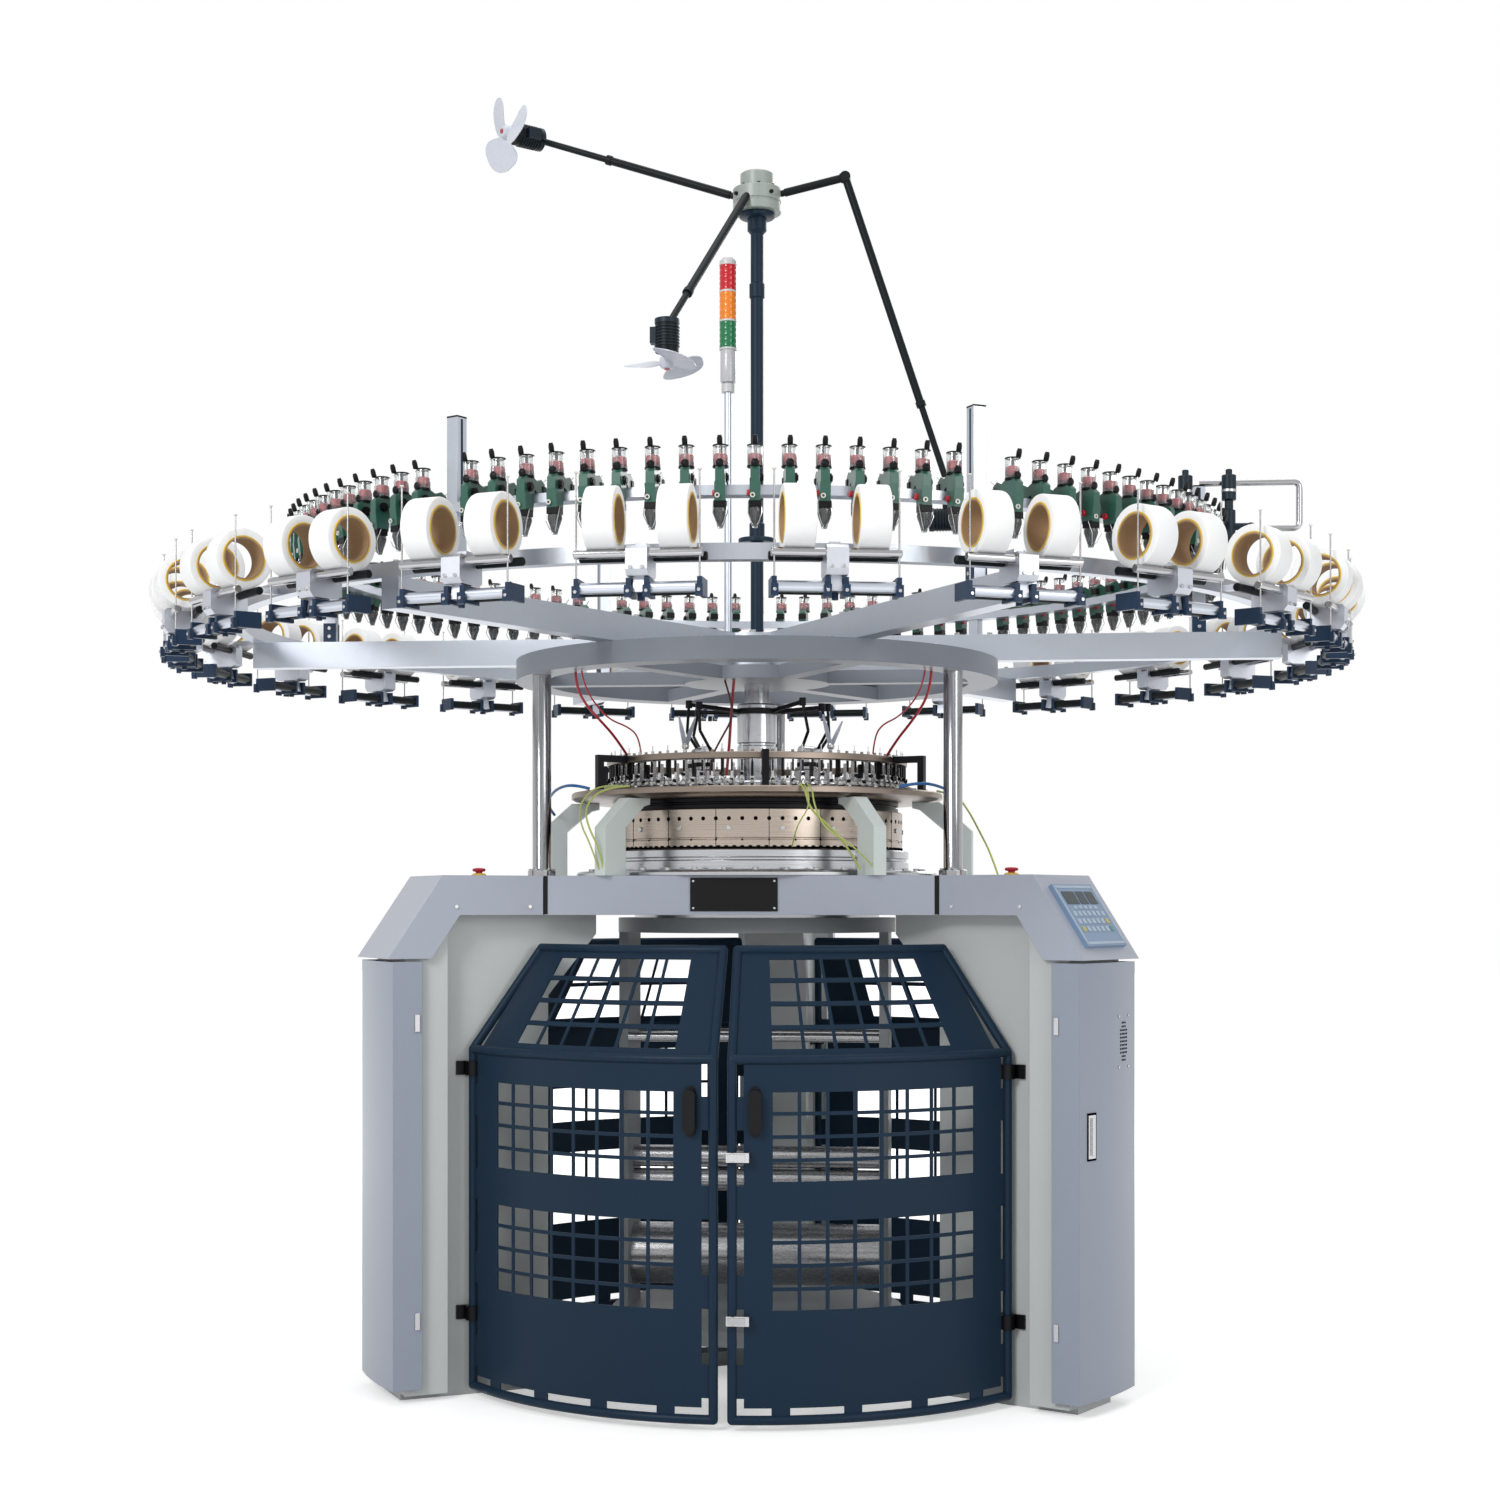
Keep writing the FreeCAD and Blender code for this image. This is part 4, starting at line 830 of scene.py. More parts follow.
@dataclass
class KnittingHead:
    """The turned rings of the knitting head with their holes, joints and screws."""

    cam_reach: float = 0.450
    cam_segments: int = 18
    holes: int = 72
    plate_reach: float = 0.575
    plate_bolts: int = 36
    gap_teeth: int = 120
    spider_angles: tuple[float, ...] = (160.0, 200.0, 225.0, 318.0, 342.0, 20.0, 80.0, 105.0)
    blower_angles: tuple[float, ...] = (215.0, 330.0, 90.0)
    bare_block_angles: tuple[float, ...] = (195.0, 345.0)
    steps: int = 192

    def rings(self) -> None:
        """Make the turned rings that stand for the CAD rings."""
        base = Shape()
        base.lathe([(0.400, 1.500), (0.5585, 1.500), (0.560, 1.5015), (0.560, 1.510), (0.554, 1.516),
            (0.476, 1.516), (0.470, 1.520), (0.470, 1.544), (0.464, 1.548), (0.464, 1.553),
            (0.470, 1.557), (0.470, 1.576), (0.466, 1.580), (0.400, 1.580)], segments=self.steps, closed=True)
        base.piece("head_base_turned", CYLINDER_STEEL, Body.MACHINE, "cylinder_steel", ["head_base"])
        cam = Shape()
        reach = self.cam_reach
        cam.lathe([(0.396, BASE_TOP), (reach - 0.004, BASE_TOP), (reach, BASE_TOP + 0.004),
            (reach, 1.606), (reach - 0.003, 1.608), (reach - 0.003, 1.611), (reach, 1.613),
            (reach, CAM_TOP - 0.003), (reach - 0.003, CAM_TOP), (0.396, CAM_TOP)],
            segments=self.steps, closed=True)
        cam.piece("cam_box_turned", HEAD_STEEL, Body.MACHINE, "head_steel", ["cam_box"])
        band = Shape()
        band.lathe([(0.396, CAM_TOP), (0.437, CAM_TOP), (0.438, 1.699), (0.438, 1.710), (0.430, 1.712),
            (0.430, 1.716), (0.438, 1.718), (0.438, 1.727), (0.437, BAND_TOP), (0.396, BAND_TOP)],
            segments=self.steps, closed=True)
        band.piece("head_band_turned", BLACK_STEEL, Body.MACHINE, "dark_steel", ["head_band"])
        plate = Shape()
        outer = self.plate_reach
        plate.lathe([(0.410, BAND_TOP), (0.520, BAND_TOP), (outer - 0.012, 1.734), (outer, 1.740),
            (outer, 1.754), (outer - 0.004, PLATE_TOP), (0.500, PLATE_TOP), (0.498, PLATE_TOP - 0.003),
            (0.492, PLATE_TOP - 0.003), (0.490, PLATE_TOP), (0.410, PLATE_TOP)],
            segments=self.steps, closed=True)
        plate.piece("feeder_plate_turned", PLATE_STEEL, Body.MACHINE, "head_steel", ["feeder_plate"])
        guide = Shape()
        guide.lathe([(0.432, CARRIER_TOP), (0.464, CARRIER_TOP), (0.466, 1.844), (0.466, 1.860),
            (0.464, GUIDE_TOP), (0.432, GUIDE_TOP)], segments=self.steps, closed=True)
        guide.piece("guide_ring_turned", PLATE_STEEL, Body.MACHINE, "head_steel", ["guide_ring"])
        hub = Shape()
        hub.lathe([(0.0, PLATE_TOP), (0.384, PLATE_TOP), (0.385, 1.759), (0.385, 1.773), (0.382, 1.774),
            (0.300, 1.782), (0.296, 1.786), (0.200, 1.796), (0.124, 1.806), (0.066, 1.806),
            (0.062, 1.810), (0.062, 1.905), (0.058, 1.909), (0.058, 1.914), (0.062, 1.918),
            (0.062, 2.034), (0.058, 2.038), (0.040, 2.038), (0.040, RING_BOTTOM), (0.0, RING_BOTTOM)],
            segments=96)
        hub.piece("dial_hub_turned", CYLINDER_STEEL, Body.MACHINE, "cylinder_steel", ["dial_hub"])

    def dots(self) -> None:
        """Make the holes, the joints and the screws of the cam boxes and the plate; the holes and the gap at
        the foot of the cam boxes are black painted shade.
        """
        dark, bright = Shape(), Shape()
        reach = self.cam_reach
        # Holes are black discs of painted shade; every fourth step also takes a screw
        for index in range(self.holes):
            angle = 360 * index / self.holes
            way = polar(1, angle, 0)
            for height, radius in ((1.668, 0.0062), (1.606, 0.0032)):
                if height < 1.65 and index % 2:
                    continue
                dark.rod(polar(reach - 0.002, angle, height), polar(reach + 0.0006, angle, height),
                    radius, 10, 0.0001)
            if index % 4 == 1:
                bright.rod(polar(reach - 0.002, angle, 1.640), polar(reach, angle, 1.640) + way * 0.004,
                    0.007, 12)
        for index in range(self.cam_segments):
            place = turn(360 * index / self.cam_segments)
            dark.slab((reach - 0.002, -0.0009, BASE_TOP + 0.003),
                (reach + 0.0005, 0.0009, CAM_TOP - 0.002), place)
        # Black blocks along the gap at the foot of the cam boxes: painted shade in the gap
        for index in range(self.gap_teeth):
            place = turn(360 * index / self.gap_teeth)
            dark.slab((reach - 0.002, -0.0055, BASE_TOP + 0.001),
                (reach + 0.0022, 0.0055, BASE_TOP + 0.0095), place)
        # A black ring in the crease where the cam boxes sit on the base: painted shade
        dark.lathe([(reach - 0.004, BASE_TOP), (reach + 0.0012, BASE_TOP),
            (reach + 0.0012, BASE_TOP + 0.006), (reach - 0.004, BASE_TOP + 0.006)],
            segments=self.steps, closed=True)
        for index in range(self.plate_bolts):
            angle = 360 * (index + 0.5) / self.plate_bolts
            foot = polar(0.545, angle, PLATE_TOP - 0.001)
            bright.stud(foot, 0.007, 0.006, 6)
            foot = polar(0.515, angle, 1.5155)
            bright.stud(foot, 0.009, 0.009, 6)
        dark.piece("cam_box_holes", HOLE_SHADE_AND_JOINTS, Body.MACHINE)
        bright.piece("head_screws", BRIGHT, Body.MACHINE, "roll_steel")

    def spider(self) -> None:
        """Make the black oil-line arms that reach out from the top of the dial hub."""
        arms = Shape()
        arms.lathe([(0.058, 2.004), (0.074, 2.006), (0.076, 2.020), (0.058, 2.026)], segments=40, closed=True)
        for index, angle in enumerate(self.spider_angles):
            lift = 0.012 * (index % 2)
            reach = 0.205 + 0.012 * (index % 3)
            start, knee = polar(0.066, angle, 2.014), polar(reach, angle, 2.022 + lift)
            arms.rod(start, knee, 0.0065, 10)
            arms.rod(knee - Vector((0, 0, 0.012)), knee + Vector((0, 0, 0.012)), 0.0105, 12)
            bend = polar(reach + 0.010, angle + 4, 1.945)
            foot = polar(reach - 0.035, angle + 7, 1.872)
            arms.rod(knee, bend, 0.0048, 8)
            arms.rod(bend, foot, 0.0048, 8)
            arms.rod(foot, polar(reach - 0.035, angle + 7, 1.800), 0.0048, 8)
        arms.piece("hub_oil_lines", BLACK, Body.MACHINE, "black_plastic")

    def blowers(self) -> None:
        """Make the cast blocks on the dial and the thin pale lint blades beside them."""
        blocks, blades, dark = Shape(), Shape(), Shape()
        for index, angle in enumerate((*self.blower_angles, *self.bare_block_angles)):
            place = turn(angle)
            blocks.slab((0.150, -0.028, 1.796), (0.226, 0.028, 1.826), place)
            blocks.lathe([(0.026, 0), (0.030, 0.004), (0.030, 0.034), (0.022, 0.040)],
                place @ Matrix.Translation((0.188, 0, 1.826)), 20)
            blocks.bar(place, (0.188, -0.030, 1.886), (0.188, 0.030, 1.886), 0.016, 16)
            dark.lathe([(0.0305, 0.012), (0.0312, 0.013), (0.0312, 0.024), (0.0305, 0.025)],
                place @ Matrix.Translation((0.188, 0, 1.826)), 20, closed=True)
            if index < len(self.blower_angles):
                middle = place @ Vector((0.262, 0.020, 1.898))
                blocks.rod(place @ Vector((0.262, 0.020, 1.788)), middle, 0.005, 10)
                blocks.lathe([(0.009, -0.008), (0.012, 0), (0.009, 0.010)], Matrix.Translation(middle), 14)
                for lean in (-38.0, 24.0):
                    swing = Matrix.Rotation(math.radians(lean), 4, "X")
                    tilt = Matrix.Translation(middle) @ place.to_3x3().to_4x4() @ swing
                    blades.prism([(-0.0085, 0.006), (0.0085, 0.006), (0.0070, 0.060), (0.0022, 0.104),
                        (-0.0022, 0.104), (-0.0070, 0.060)], -0.0009, 0.0009,
                        tilt @ Matrix.Rotation(math.pi / 2, 4, "X"))
        blocks.piece("dial_blocks", BRIGHT, Body.MACHINE, "cylinder_steel")
        dark.piece("dial_block_bands", BLACK, Body.MACHINE, "black_plastic")
        blades.piece("dial_lint_blades", FAN_WHITE, Body.MACHINE, "fan_plastic")

    def build(self) -> None:
        """Make the head's pieces."""
        self.rings()
        self.dots()
        self.spider()
        self.blowers()


@dataclass
class YarnCarriers:
    """The ring of small yarn carriers between the feeder plate and the guide ring."""

    count: int = 96
    reach: float = 0.449

    def build(self) -> None:
        """Make posts, eyelets, knobs, hooks and studs."""
        posts, blacks, eyes, studs, tips = Shape(), Shape(), Shape(), Shape(), Shape()
        r = self.reach
        for index in range(self.count):
            place = turn(360 * index / self.count)
            tall = index % 2 == 0
            top = CARRIER_TOP if tall else CARRIER_TOP - 0.010
            post = blacks if index % 3 == 1 else posts
            post.slab((r - 0.008, -0.0036, PLATE_TOP + 0.030), (r + 0.006, 0.0036, top), place)
            posts.slab((r - 0.008, -0.0058, PLATE_TOP), (r + 0.010, 0.0058, PLATE_TOP + 0.032), place)
            blacks.slab((r + 0.004, -0.0050, PLATE_TOP + 0.001), (r + 0.030, 0.0050, PLATE_TOP + 0.010),
                place)
            blacks.slab((r + 0.004, -0.0022, CARRIER_TOP - 0.036),
                (r + 0.011, 0.0022, CARRIER_TOP - 0.002), place)
            posts.bar(place, (r + 0.010, 0, PLATE_TOP + 0.026), (r + 0.030, 0, PLATE_TOP + 0.016),
                0.0020, 6, 0.0003)
            eyes.lathe([(0.0022, 0), (0.0060, 0), (0.0060, 0.004), (0.0022, 0.004)],
                along(place @ Vector((r + 0.030, 0, PLATE_TOP + 0.014)), place @ Vector((0.6, 0, 1))), 8,
                closed=True)
            knob = place @ Vector((r + 0.008, 0, PLATE_TOP + (0.040 if tall else 0.022)))
            blacks.rod(knob, knob + (place.to_3x3() @ Vector((0.010, 0, 0))), 0.0052, 8)
            foot = place @ Vector((r + 0.004, 0, GUIDE_TOP))
            if tall:
                studs.stud(foot, 0.009, 0.0042, 6)
                studs.rod(foot + Vector((0, 0, 0.009)), foot + Vector((0, 0, 0.024)), 0.0016, 5, 0.0003)
            else:
                tips.stud(foot, 0.007, 0.0046, 6)
        posts.piece("carrier_posts", BRIGHT, Body.MACHINE, "cylinder_steel", ["yarn_carriers"])
        blacks.piece("carrier_knobs", BLACK, Body.MACHINE, "black_plastic")
        eyes.piece("carrier_eyelets", CERAMIC, Body.MACHINE)
        studs.piece("guide_ring_studs", BRIGHT, Body.MACHINE, "roll_steel")
        tips.piece("guide_ring_nuts", PLATE_STEEL, Body.MACHINE, "head_steel")


@dataclass
class Uprights:
    """The chromed columns, the mast and the swivel hub with their bolts."""

    column_reach: float = 0.705

    def build(self) -> None:
        """Make the columns, mast, hub and bolts."""
        columns, bolts = Shape(), Shape()
        for angle in LEG_ANGLES.values():
            place = Matrix.Translation(polar(self.column_reach, angle, 0))
            columns.lathe([(0.0415, BED_TOP), (0.042, 1.5005), (0.042, 1.516), (0.040, 1.518),
                (0.031, 1.520), (0.028, 1.524), (0.028, RING_BOTTOM)], place, 48)
            for step in range(6):
                foot = place @ polar(0.0355, 60 * step + 15, 1.517)
                bolts.stud(foot, 0.006, 0.0042, 6)
        columns.piece("columns_turned", CHROME, Body.MACHINE, "column_chrome", ["columns"])
        for step in range(24):
            foot = polar(0.700, 15 * step + 7.5, RING_BOTTOM + 0.0645)
            bolts.stud(foot, 0.008, 0.009, 6)
        for step in range(8):
            foot = polar(0.140, 45 * step, ARM_TOP - 0.0005)
            bolts.stud(foot, 0.009, 0.010, 6)
        bolts.piece("frame_bolts", BRIGHT, Body.MACHINE, "roll_steel")
        mast = Shape()
        mast.lathe([(0.0, ARM_TOP), (0.020, ARM_TOP), (0.020, 2.540), (0.056, 2.540), (0.058, 2.542),
            (0.058, 2.552), (0.056, 2.554), (0.024, 2.556), (0.024, 2.600), (0.020, 2.604),
            (0.020, 3.300), (0.024, 3.304), (0.024, 3.345), (0.020, 3.349), (0.020, 3.500),
            (0.030, 3.512), (0.030, 3.548), (0.053, 3.551), (0.055, 3.553), (0.055, 3.564),
            (0.054, MAST_TOP), (0.0, MAST_TOP)], segments=40)
        mast.piece("mast_tube", MAST_PAINT, Body.MACHINE, "mast_paint", ["mast"])
        hub = Shape()
        seat = MAST_TOP + 0.0003
        hub.lathe([(0.0, seat), (0.073, seat), (0.075, seat + 0.002), (0.075, seat + 0.026),
            (0.072, seat + 0.028), (0.072, seat + 0.032), (0.075, seat + 0.034), (0.075, seat + 0.073),
            (0.073, seat + 0.075), (0.052, seat + 0.077), (0.052, seat + 0.120), (0.046, seat + 0.125),
            (0.0, seat + 0.125)], segments=64)
        hub.piece("swivel_hub_cast", HUB_PAINT, Body.SWIVEL, "ring_paint", ["swivel_hub"])
        screws = Shape()
        for step in range(8):
            foot = polar(0.064, 45 * step + 10, seat + 0.0745)
            screws.stud(foot, 0.006, 0.0048, 6)
        for step in range(4):
            screws.rod(polar(0.074, 90 * step + 40, seat + 0.050),
                polar(0.083, 90 * step + 40, seat + 0.050), 0.006, 8)
        screws.piece("swivel_hub_screws", BOOM_PAINT, Body.SWIVEL, "boom_paint")


@dataclass
class SignalLamp:
    """The stacked signal lamp on its pole."""

    place: tuple[float, float] = (-0.095, 0.040)
    foot: float = 3.050
    radius: float = 0.027
    base_radius: float = 0.0245
    ribs: int = 5
    glow: float = 0.12

    def build(self) -> None:
        """Make the base, the lenses and the cap."""
        level = self.foot
        x, y = self.place
        bands = Shape()
        for lens in LampLens:
            height, color = lens.value
            name = "lamp_" + lens.name.lower()
            lit = lens is not LampLens.BASE
            r = self.radius if lit else self.base_radius
            glow = self.glow if lit else 0.0
            finish = Plastic(name, color, roughness=0.18, wear=0.0, glow=glow).build()
            shape = Shape()
            rings = [(r - 0.002, 0.0)]
            ribs = self.ribs if lit else 1
            for index in range(ribs):
                low = height * index / ribs
                high = height * (index + 1) / ribs
                rings += [(r - 0.001, low + 0.001), (r, low + 0.004), (r, high - 0.004),
                    (r - 0.001, high - 0.001)]
            rings.append((r - 0.002, height))
            shape.lathe(rings, Matrix.Translation((x, y, level)), 36)
            top = lens is LampLens.RED
            shape.piece("lamp_segment_" + lens.name.lower(), finish, Body.MACHINE,
                "lamp_lens" if top else None, ["signal_lamp"] if top else [])
            level += height
            bands.lathe([(self.radius - 0.002, -0.0035), (self.radius + 0.0006, -0.003),
                (self.radius + 0.0006, 0.003), (self.radius - 0.002, 0.0035)],
                Matrix.Translation((x, y, level)), 36, closed=True)
        bands.piece("lamp_bands", LAMP_WHITE, Body.MACHINE)
        cap = Shape()
        cap.lathe([(self.radius, 0), (self.radius, 0.010), (0.018, LAMP_TOP - level)],
            Matrix.Translation((x, y, level)), 36)
        cap.lathe([(0.021, 0), (0.021, 0.024), (0.016, 0.030)],
            Matrix.Translation((x, y, self.foot - 0.030)), 24)
        cap.piece("lamp_cap", LAMP_WHITE, Body.MACHINE)


@dataclass
class BoomSleeves:
    """The wider tubes in which the fan booms slide, with their collars."""

    radius: float = 0.0125
    root: float = 0.074
    high_share: float = 0.62
    drop_share: float = 0.76

    def build(self) -> None:
        """Make the sleeves along the inner part of each boom."""
        sleeves = Shape()
        upper, lower = MAST_TOP + 0.060, MAST_TOP + 0.0375
        high = polar(self.root, 172, upper), polar(*HIGH_BOOM_END, MAST_TOP + 0.295)
        mid = polar(self.root, 250, lower), polar(*MID_BOOM_END, MAST_TOP - 0.490)
        elbow = polar(0.275, 0, MAST_TOP + 0.105)
        drop = polar(0.585, 0, MAST_TOP - 0.835)
        ends = [(high[0], high[0].lerp(high[1], self.high_share)),
            (mid[0], mid[0].lerp(mid[1], self.drop_share)), (polar(self.root, 0, upper), elbow),
            (elbow, elbow.lerp(drop, self.drop_share))]
        for start, end in ends:
            way = (end - start).normalized()
            sleeves.rod(start + way * 0.012, end, self.radius, 18, 0.0010)
            sleeves.rod(end - way * 0.016, end + way * 0.002, self.radius + 0.0030, 18, 0.0010)
        side = Vector((0, 1, 0))
        sleeves.rod(elbow - side * 0.016, elbow + side * 0.016, 0.0165, 20, 0.0015)
        sleeves.piece("boom_sleeves", BOOM_PAINT, Body.SWIVEL, "boom_paint")


@dataclass
class Fan:
    """A three-bladed fan with its motor's ribs."""

    name: str
    body: Body
    start: Vector
    way: Vector
    radius: float = 0.126
    motor_length: float = 0.092
    blades: int = 3
    tilt: float = 0.44
    half_thickness: float = 0.0011

    def blade(self, shape: Shape, place: Matrix) -> None:
        """Add one broad twisted blade.

        Args:
            shape: The shape that takes it.
            place: The hub's place, with z along the shaft.
        """
        steps, chords = 8, 7
        points, faces = [], []
        for side in (-1, 1):
            for i in range(steps + 1):
                t = i / steps
                r = 0.018 + (self.radius - 0.018) * t
                spread = math.radians(16 + 34 * math.sin(math.pi * min(t * 0.80 + 0.12, 1.0)) ** 0.8)
                for j in range(chords + 1):
                    u = 2 * j / chords - 1
                    edge = 1 - 0.12 * (u * u) * (t ** 3)
                    angle = spread * u + 0.10 * t
                    lift = -r * math.sin(spread * u) * self.tilt * (1.15 - 0.5 * t)
                    out = r * edge
                    points.append((out * math.cos(angle), out * math.sin(angle),
                        lift + side * self.half_thickness))
        row, layer = chords + 1, (steps + 1) * (chords + 1)
        for i in range(steps):
            for j in range(chords):
                a = i * row + j
                faces.append((a, a + row, a + row + 1, a + 1))
                faces.append((layer + a, layer + a + 1, layer + a + row + 1, layer + a + row))
        rim = [*range(row), *(i * row + chords for i in range(1, steps + 1)),
            *(steps * row + j for j in reversed(range(chords))),
            *(i * row for i in reversed(range(1, steps)))]
        for first, second in zip(rim, rim[1:] + rim[:1]):
            faces.append((first, second, layer + second, layer + first))
        shape.add(points, faces, place)

    def build(self) -> None:
        """Make the blades, the boss and the motor's ribs."""
        face = self.start + self.way * (self.motor_length + 0.0003)
        rotor = Shape()
        rotor.rod(face, face + self.way * 0.016, 0.006, 16)
        boss = along(face + self.way * 0.016, self.way)
        rotor.lathe([(0.022, 0), (0.022, 0.020), (0.016, 0.028), (0.006, 0.030)], boss, 24)
        middle = along(face + self.way * 0.031, self.way)
        for index in range(self.blades):
            self.blade(rotor, middle @ Matrix.Rotation(FULL_TURN * index / self.blades, 4, "Z"))
        rotor.piece(self.name + "_blades", FAN_WHITE, self.body, "fan_plastic", [self.name])
        nut = Shape()
        nut.rod(face + self.way * 0.046, face + self.way * 0.049, 0.008, 6)
        nut.piece(self.name + "_nut", BUTTON_RED, self.body)
        ribs = Shape()
        motor = along(self.start, self.way)
        for index in range(7):
            low = 0.018 + 0.009 * index
            ribs.lathe([(0.033, low), (0.0365, low + 0.0008), (0.0365, low + 0.0032),
                (0.033, low + 0.004)], motor, 28, closed=True)
        ribs.lathe([(0.030, -0.006), (0.036, -0.004), (0.036, 0.010), (0.033, 0.012)], motor, 28, closed=True)
        ribs.slab((0.028, -0.016, 0.020), (0.048, 0.016, 0.066), motor)
        ribs.piece(self.name + "_motor_ribs", MOTOR_PAINT, Body.SWIVEL, "boom_paint")


@dataclass
class YarnFeeders:
    """The yarn feeders of two creel bays."""

    bays: Bays
    per_bay: int = 16
    jar_reach: float = 1.3945
    arm_reach: float = 1.322
    nose_reach: float = 1.426

    def body(self, parts: dict[str, Shape], place: Matrix) -> None:
        """Add a feeder's cast body with its clamp, dial and lower cone.

        Args:
            parts: The shapes by finish.
            place: The feeder's place, with x outwards.
        """
        top = FEEDER_RING_TOP
        x = self.jar_reach
        side = place @ Matrix.Rotation(math.pi / 2, 4, "X")
        parts["body"].prism([(self.arm_reach, top + 0.001), (1.352, top + 0.001), (1.372, top + 0.012),
            (1.376, top + 0.001), (1.4245, top + 0.001), (1.4245, top + 0.030), (1.412, top + 0.041),
            (1.376, top + 0.041), (1.360, top + 0.034), (1.340, top + 0.042),
            (self.arm_reach, top + 0.032)], -0.0115, 0.0115, side)
        parts["body"].prism([(1.384, top - 0.050), (1.421, top - 0.046), (self.nose_reach, top + 0.001),
            (1.378, top + 0.001)], -0.0135, 0.0135, side)
        parts["black"].slab((self.arm_reach - 0.004, -0.014, top + 0.006),
            (self.arm_reach + 0.012, 0.014, top + 0.026), place)
        parts["black"].slab((1.388, -0.0155, top - 0.062), (1.420, 0.0155, top - 0.044), place)
        parts["black"].lathe([(0.0155, 0), (0.0165, 0.004), (0.0130, 0.018), (0.0060, 0.042),
            (0.0030, 0.050)], along(place @ Vector((1.4035, 0, top - 0.060)), Vector((0, 0, -1))), 12)
        parts["clear"].lathe([(0.0185, 0), (0.0190, 0.010), (0.0100, 0.036), (0.0070, 0.048)],
            along(place @ Vector((1.4035, 0, top - 0.064)), Vector((0, 0, -1))), 12)
        button = along(place @ Vector((x - 0.004, -0.013, top - 0.022)), place.to_3x3() @ Vector((0, -1, 0)))
        parts["red"].lathe([(0.0085, 0), (0.0090, 0.003), (0.0070, 0.008)], button, 12)
        for low, high in ((0.0135, 0.0185), (0.0185, 0.0215)):
            edge = 0.0125 if low < 0.015 else 0.008
            dial = along(place @ Vector((x + 0.006, low, top + 0.014)), place.to_3x3() @ Vector((0, 1, 0)))
            parts["black"].lathe([(edge, 0), (edge, high - low)], dial, 12)

    def jar(self, parts: dict[str, Shape], place: Matrix) -> None:
        """Add a feeder's clear jar, its red filter, the dial and the knob on its stalk.

        Args:
            parts: The shapes by finish.
            place: The feeder's place, with x outwards.
        """
        top = FEEDER_RING_TOP
        x = self.jar_reach
        base = Matrix.Translation(place @ Vector((x, 0, top + 0.041)))
        parts["clear"].lathe([(0.0190, 0.001), (0.0195, 0.003), (0.0195, 0.052), (0.0185, 0.0555),
            (0.0170, 0.0555), (0.0178, 0.050), (0.0178, 0.003)], base, 16, closed=True)
        parts["red"].lathe([(0.0150, 0.012), (0.0172, 0.014), (0.0172, 0.031), (0.0150, 0.033)], base, 16)
        parts["black"].lathe([(0.0198, 0.0515), (0.0204, 0.0525), (0.0204, 0.0545), (0.0186, 0.0558)],
            base, 16, closed=True)
        parts["black"].lathe([(0.0185, -0.002), (0.0205, -0.001), (0.0205, 0.003), (0.0190, 0.004)], base, 14)
        parts["black"].lathe([(0.0040, 0.0), (0.0040, 0.0560), (0.0030, 0.0580)], base, 8)
        out = place.to_3x3() @ Vector((1, 0, 0))
        hinge = place @ Vector((x + 0.0185, 0, top + 0.049))
        for low, high, first, last in ((0.0, 0.0045, 0.0030, 0.0105), (0.0050, 0.0095, 0.0105, 0.0030)):
            parts["black"].lathe([(first, 0), (last, high - low)], along(hinge + out * low, out), 12)
        stalk = place @ Vector((x + 0.022, 0, top + 0.046))
        knob = place @ Vector((x + 0.026, 0, top + 0.094))
        lean = place.to_3x3() @ Vector((0.30, 0, 1.0))
        parts["clear"].rod(stalk, knob, 0.0024, 6, 0.0004)
        parts["black"].lathe([(0.0045, -0.002), (0.0070, 0.001), (0.0072, 0.014), (0.0050, 0.022)],
            along(knob, lean), 10)

    def wires(self, parts: dict[str, Shape], place: Matrix) -> None:
        """Add a feeder's eyelets and its wire fingers.

        Args:
            parts: The shapes by finish.
            place: The feeder's place, with x outwards.
        """
        top = FEEDER_RING_TOP
        out = place.to_3x3() @ Vector((1, 0, 0))
        parts["eye"].lathe([(0.0036, 0), (0.0066, 0), (0.0066, 0.003), (0.0036, 0.003)],
            along(place @ Vector((self.nose_reach, -0.006, top - 0.034)), out), 10, closed=True)
        for lateral in (-0.017, 0.017):
            ends = [Vector((1.410, lateral, top - 0.046)), Vector((1.424, lateral, top - 0.078)),
                Vector((1.416, lateral * 0.5, top - 0.100)), Vector((1.404, 0, top - 0.110))]
            parts["steel"].tube([place @ end for end in ends], 0.0012, 5)
        parts["steel"].bar(place, (self.arm_reach, 0, top + 0.034), (1.296, 0, top + 0.050),
            0.0013, 6, 0.0002)

    def build(self) -> None:
        """Make the feeders of the two bays."""
        finishes = {"body": FEEDER_PAINT, "clear": JAR, "red": RED, "black": BLACK, "eye": CERAMIC,
            "steel": BRIGHT}
        slots = {"body": "feeder_green", "black": "black_plastic", "steel": "roll_steel"}
        parts = {key: Shape() for key in finishes}
        pitch = BAY / (self.per_bay + 1)
        for bay in self.bays.value:
            for index in range(self.per_bay):
                place = turn(BAY * bay + (index + 1) * pitch)
                self.body(parts, place)
                self.jar(parts, place)
                self.wires(parts, place)
        side = self.bays.name.lower()
        for key, shape in parts.items():
            nodes = ["yarn_feeders_" + side] if key == "body" else []
            shape.piece(f"feeder_{key}_{side}", finishes[key], Body.MACHINE, slots.get(key), nodes)


